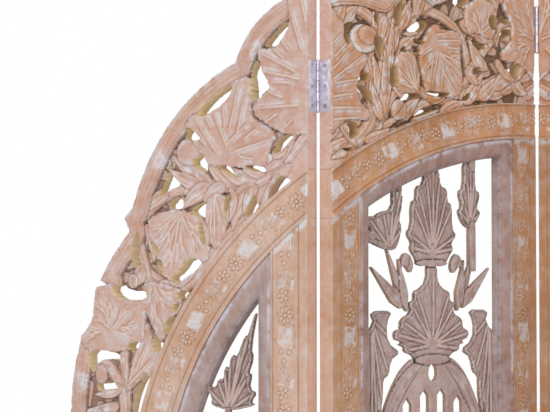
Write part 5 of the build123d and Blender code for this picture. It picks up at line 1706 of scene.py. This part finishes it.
def moulding_wood():
    """Planed moulding with a lilac-white wash, and a painted highlight on its round near the frame."""
    return shared("Limed mango, planed moulding", limed_wood, light="b8a19c", mid="a58d88", brown="8f7466",
                  wash="d3ccd4", groove="4a3a36", wash_amount=settings().wash * THIN_WASH, grain_up=True,
                  dark_vein=0.8, vein="d8d0d4", inner_tint="f6ece6")


def plain_wood():
    """Planed rails with a thin wash."""
    return shared("Limed mango, planed rail", limed_wood, light="d8b598", mid="cba17d", brown="b78e62",
                  wash="dcd5d3", groove="6f5640", wash_amount=settings().wash * THIN_WASH, grain_up=True,
                  carved=False)


def plate_steel():
    """Pressed plates: clouded lilac-grey zinc."""
    return shared("Zinc-plated steel, pressed plate", zinc_steel, "cfcad6", "a8a3ad", 0.35)


def screw_steel():
    """Screw heads: the same zinc, a little yellower and shinier."""
    return shared("Zinc-plated steel, screw head", zinc_steel, "b9b3b2", "8f8886", 0.25)


def pin_steel():
    """Drawn steel pins: darker and smoother."""
    return shared("Drawn steel, hinge pin", zinc_steel, "9b979c", "77737a", 0.25)


# ---------------------------------------------------------------- operators
# How much coarser than the settings' grid some boards are. The inner jali's keeps its mesh light.
BORDER_GRID, INNER_JALI_GRID, MOULDING_GRID, HINGE_STILE_GRID, OTHER_STILE_GRID = 1.3, 1.08, 1.2, 1.1, 1.2


def place_pair(name, node, board, z_back, panels, material):
    """Lays one carved board on its left and its right panel."""
    for number in panels:
        mesh = wood_mesh(f"{name}_{number}", PLACES[number], board, z_back)
        place_piece(mesh, f"panel_{number}", [f"panel_{number}_{node}"], material)


class SCREEN_OT_crests(Operator):
    """Carve the pierced crests of the four panels"""

    bl_idname = "screen.crests"
    bl_label = "Carve crests"

    def execute(self, context):
        step = settings().grid
        for board, panels in ((carve_outer_crest(step), (1, 4)), (carve_inner_crest(step), (2, 3))):
            place_pair("carved_crest", "crest", board, CREST_BACK, panels, crest_wood())
        return {"FINISHED"}


class SCREEN_OT_borders(Operator):
    """Carve the scalloped side borders"""

    bl_idname = "screen.borders"
    bl_label = "Carve side borders"

    def execute(self, context):
        place_pair("carved_border", "side_border", carve_side_border(settings().grid * BORDER_GRID),
                   CREST_BACK, (1, 4), crest_wood())
        return {"FINISHED"}


class SCREEN_OT_jalis(Operator):
    """Carve the pierced boards of the openings"""

    bl_idname = "screen.jalis"
    bl_label = "Carve jalis"

    def execute(self, context):
        step = settings().grid
        place_pair("carved_jali", "jali", carve_inner_jali(step * INNER_JALI_GRID), JALI_BACK, (2, 3),
                   jali_wood())
        place_pair("carved_jali", "jali", carve_outer_jali(step), JALI_BACK, (1, 4),
                   jali_wood())
        return {"FINISHED"}


class SCREEN_OT_mouldings(Operator):
    """Shape the quarter-round mouldings round the openings"""

    bl_idname = "screen.mouldings"
    bl_label = "Shape mouldings"

    def execute(self, context):
        step = settings().grid * MOULDING_GRID
        for bay, panels in ((INNER_BAY, (2, 3)), (OUTER_BAY, (1, 4))):
            place_pair("shaped_moulding", "moulding", carve_moulding(bay, step), MOULDING_BACK, panels,
                       moulding_wood())
        return {"FINISHED"}


class SCREEN_OT_bands(Operator):
    """Carve the flower bands of the arch rails and stiles"""

    bl_idname = "screen.bands"
    bl_label = "Carve flower bands"

    def execute(self, context):
        step = settings().grid
        wood = band_wood()
        outer = (OUTER_LOW, OUTER_LOW + OUTER_HINGE_STILE)
        for name, node, board, panels, slot in (
            ("carved_arch", "arch_rail", carve_arch_rail(*INNER, step), (2, 3), "arch_rail_wood"),
            ("carved_arch", "arch_rail", carve_arch_rail(OUTER_LOW, SKY, step), (1, 4), "arch_rail_wood"),
            ("carved_stile_hinge", "hinge_stile",
             carve_stile((INNER[1] - STILE, INNER[1]), 3, 20, step * HINGE_STILE_GRID), (2, 3),
             "stile_wood"),
            ("carved_stile_centre", "centre_stile",
             carve_stile((INNER[0], INNER[0] + STILE), 16, 3, step * OTHER_STILE_GRID), (2, 3),
             "stile_wood"),
            ("carved_stile_hinge", "hinge_stile",
             carve_stile(outer, 16, 3, step * HINGE_STILE_GRID), (1, 4), "stile_wood"),
            ("carved_stile_outer", "outer_stile",
             carve_stile((ARCH_SPAN - OUTER_STILE, ARCH_SPAN), 8, 8, step * OTHER_STILE_GRID, False),
             (1, 4), "stile_wood"),
        ):
            place_pair(name, node, board, 0.0, panels, wood)
        return {"FINISHED"}


class SCREEN_OT_hinges(Operator):
    """Make the hinges: plates with knuckles, screws and pins"""

    bl_idname = "screen.hinges"
    bl_label = "Make hinges"

    def execute(self, context):
        centre = (INNER[0], -1, PANEL_THICKNESS, -1)
        inner = (INNER[1], 1, 0, 1)
        outer = (OUTER_LOW, -1, 0, 1)
        for joint, name, number, edge, owner in (
            ("hinge_1", "outer", 1, outer, 0), ("hinge_1", "inner", 2, inner, 1),
            ("hinge_3", "outer", 4, outer, 0), ("hinge_3", "inner", 3, inner, 1),
            ("hinge_2", "left", 2, centre, 0), ("hinge_2", "right", 3, centre, 1),
        ):
            node = f"{joint}_{name}"
            plates, screws = hinge_leaf(PLACES[number], f"pressed_{node}", *edge, owner)
            place_piece(plates, f"panel_{number}", [f"{node}_leaves"], plate_steel())
            place_piece(screws, f"panel_{number}", [f"{node}_screws"], screw_steel())
        for joint, number, pin_s, pin_z in (
            ("hinge_1", 2, PITCH, -PIN_OFFSET), ("hinge_3", 3, PITCH, -PIN_OFFSET),
            ("hinge_2", 2, 0, PANEL_THICKNESS + PIN_OFFSET),
        ):
            pins = hinge_pin(PLACES[number], f"turned_{joint}", pin_s, pin_z)
            place_piece(pins, f"panel_{number}", [f"{joint}_pins"], pin_steel())
        return {"FINISHED"}


class SCREEN_OT_finishes(Operator):
    """Finish the planed rails"""

    bl_idname = "screen.finishes"
    bl_label = "Finish planed wood"

    def execute(self, context):
        for node in frame["nodes"].values():
            node.data.materials.clear()
            node.data.materials.append(plain_wood())
        return {"FINISHED"}


CAMERA_AT = (-0.73619, -3.15856, 1.26195)
CAMERA_TURN, CAMERA_TILT = math.radians(5.15), math.radians(2.27)
CAMERA_LENS = 133.03
FILL_SHARE = 0.62


FLOOR_DROP, FLOOR_RADIUS = 0.0004, 60
SENSOR_WIDTH = 36.0


class SCREEN_OT_stage(Operator):
    """Set up the pale floor, the soft lights and the camera"""

    bl_idname = "screen.stage"
    bl_label = "Set up studio"

    def execute(self, context):
        scene = context.scene
        world = scene.world or bpy.data.worlds.new("Studio")
        scene.world = world
        world.use_nodes = True
        tree = world.node_tree
        tree.nodes.clear()
        seen = seen_rays(tree)
        around = add_node(tree, "ShaderNodeBackground", {"Color": (1, 1, 1, 1), "Strength": settings().sky})
        shown = add_node(tree, "ShaderNodeBackground", {"Color": (1, 1, 1, 1), "Strength": 1.0})
        mixed = add_node(tree, "ShaderNodeMixShader", {0: seen, 1: around.outputs[0], 2: shown.outputs[0]})
        add_node(tree, "ShaderNodeOutputWorld", {"Surface": mixed.outputs[0]})
        self.make_floor(scene)
        for name, at, aim, size, power in (
            ("Key light", (-2.6, -3.8, 2.8), (0, 0, 1.1), 2.2, settings().key_light),
            ("Fill light", (3.0, -3.2, 2.2), (0, 0, 1.0), 2.6, settings().key_light * FILL_SHARE),
        ):
            light = bpy.data.lights.new(name, "AREA")
            light.energy, light.size = power, size
            lamp = bpy.data.objects.new(name, light)
            lamp.location = at
            lamp.rotation_euler = (Vector(aim) - Vector(at)).to_track_quat("-Z", "Y").to_euler()
            scene.collection.objects.link(lamp)
        view = bpy.data.objects.new("Camera", bpy.data.cameras.new("Camera"))
        view.data.lens, view.data.sensor_width = CAMERA_LENS, SENSOR_WIDTH
        view.location = CAMERA_AT
        view.rotation_euler = (math.pi / 2 + CAMERA_TILT, 0, -CAMERA_TURN)
        view.data.clip_end = 200
        scene.collection.objects.link(view)
        scene.camera = view
        scene.view_settings.view_transform = "Standard"
        return {"FINISHED"}

    def make_floor(self, scene):
        """A wide round floor that fades to the white of the surround away from the screen."""
        rings, around = 6, 64
        radius = np.linspace(0, FLOOR_RADIUS, rings + 1)[1:, None]
        turn = np.linspace(0, 2 * math.pi, around, endpoint=False)[None]
        points = np.stack([radius * np.cos(turn), radius * np.sin(turn), 0 * radius * turn - FLOOR_DROP], -1)
        points = np.vstack([[[0, 0, -FLOOR_DROP]], points.reshape(-1, 3)])
        first = [(0, 1 + k, 1 + (k + 1) % around) for k in range(around)]
        rest = [(1 + r * around + k, 1 + (r + 1) * around + k, 1 + (r + 1) * around + (k + 1) % around,
                 1 + r * around + (k + 1) % around) for r in range(rings - 1) for k in range(around)]
        mesh = bpy.data.meshes.new("Floor")
        mesh.from_pydata(points.tolist(), [], first + rest)
        floor = bpy.data.objects.new("Floor", mesh)
        scene.collection.objects.link(floor)
        material, tree = new_material("Studio floor, matt white paint")
        at = add_node(tree, "ShaderNodeTexCoord").outputs["Object"]
        away = add_node(tree, "ShaderNodeVectorMath", {0: at}, operation="LENGTH").outputs["Value"]
        fade = times(tree, ramp(tree, away, 1.6, 6.0), seen_rays(tree))
        paint = add_node(tree, "ShaderNodeBsdfPrincipled", {
            "Base Color": (*settings().floor_colour, 1), "Roughness": 0.9, "Specular IOR Level": 0.1})
        glow = add_node(tree, "ShaderNodeEmission", {"Color": (1, 1, 1, 1), "Strength": 1.0})
        mixed = add_node(tree, "ShaderNodeMixShader", {0: fade, 1: paint.outputs[0], 2: glow.outputs[0]})
        add_node(tree, "ShaderNodeOutputMaterial", {"Surface": mixed.outputs[0]})
        mesh.materials.append(material)


class SCREEN_PT_panel(Panel):
    """The screen's steps and settings"""

    bl_label = "Carved screen"
    bl_space_type = "VIEW_3D"
    bl_region_type = "UI"
    bl_category = "Screen"

    def draw(self, context):
        for name in ("grid", "wash", "key_light", "sky", "floor_colour"):
            self.layout.prop(settings(), name)
        for step in STEPS:
            self.layout.operator(step.bl_idname)


STEPS = (SCREEN_OT_crests, SCREEN_OT_borders, SCREEN_OT_jalis, SCREEN_OT_bands,
         SCREEN_OT_mouldings, SCREEN_OT_hinges, SCREEN_OT_finishes, SCREEN_OT_stage)
CLASSES = (ScreenSettings, *STEPS, SCREEN_PT_panel)


def register():
    for cls in CLASSES:
        bpy.utils.register_class(cls)
    bpy.types.Scene.carved_screen = PointerProperty(type=ScreenSettings)


def unregister():
    del bpy.types.Scene.carved_screen
    for cls in reversed(CLASSES):
        bpy.utils.unregister_class(cls)


def main():
    register()
    for step in STEPS:
        group, name = step.bl_idname.split(".")
        getattr(getattr(bpy.ops, group), name)()


if __name__ == "__main__":
    main()
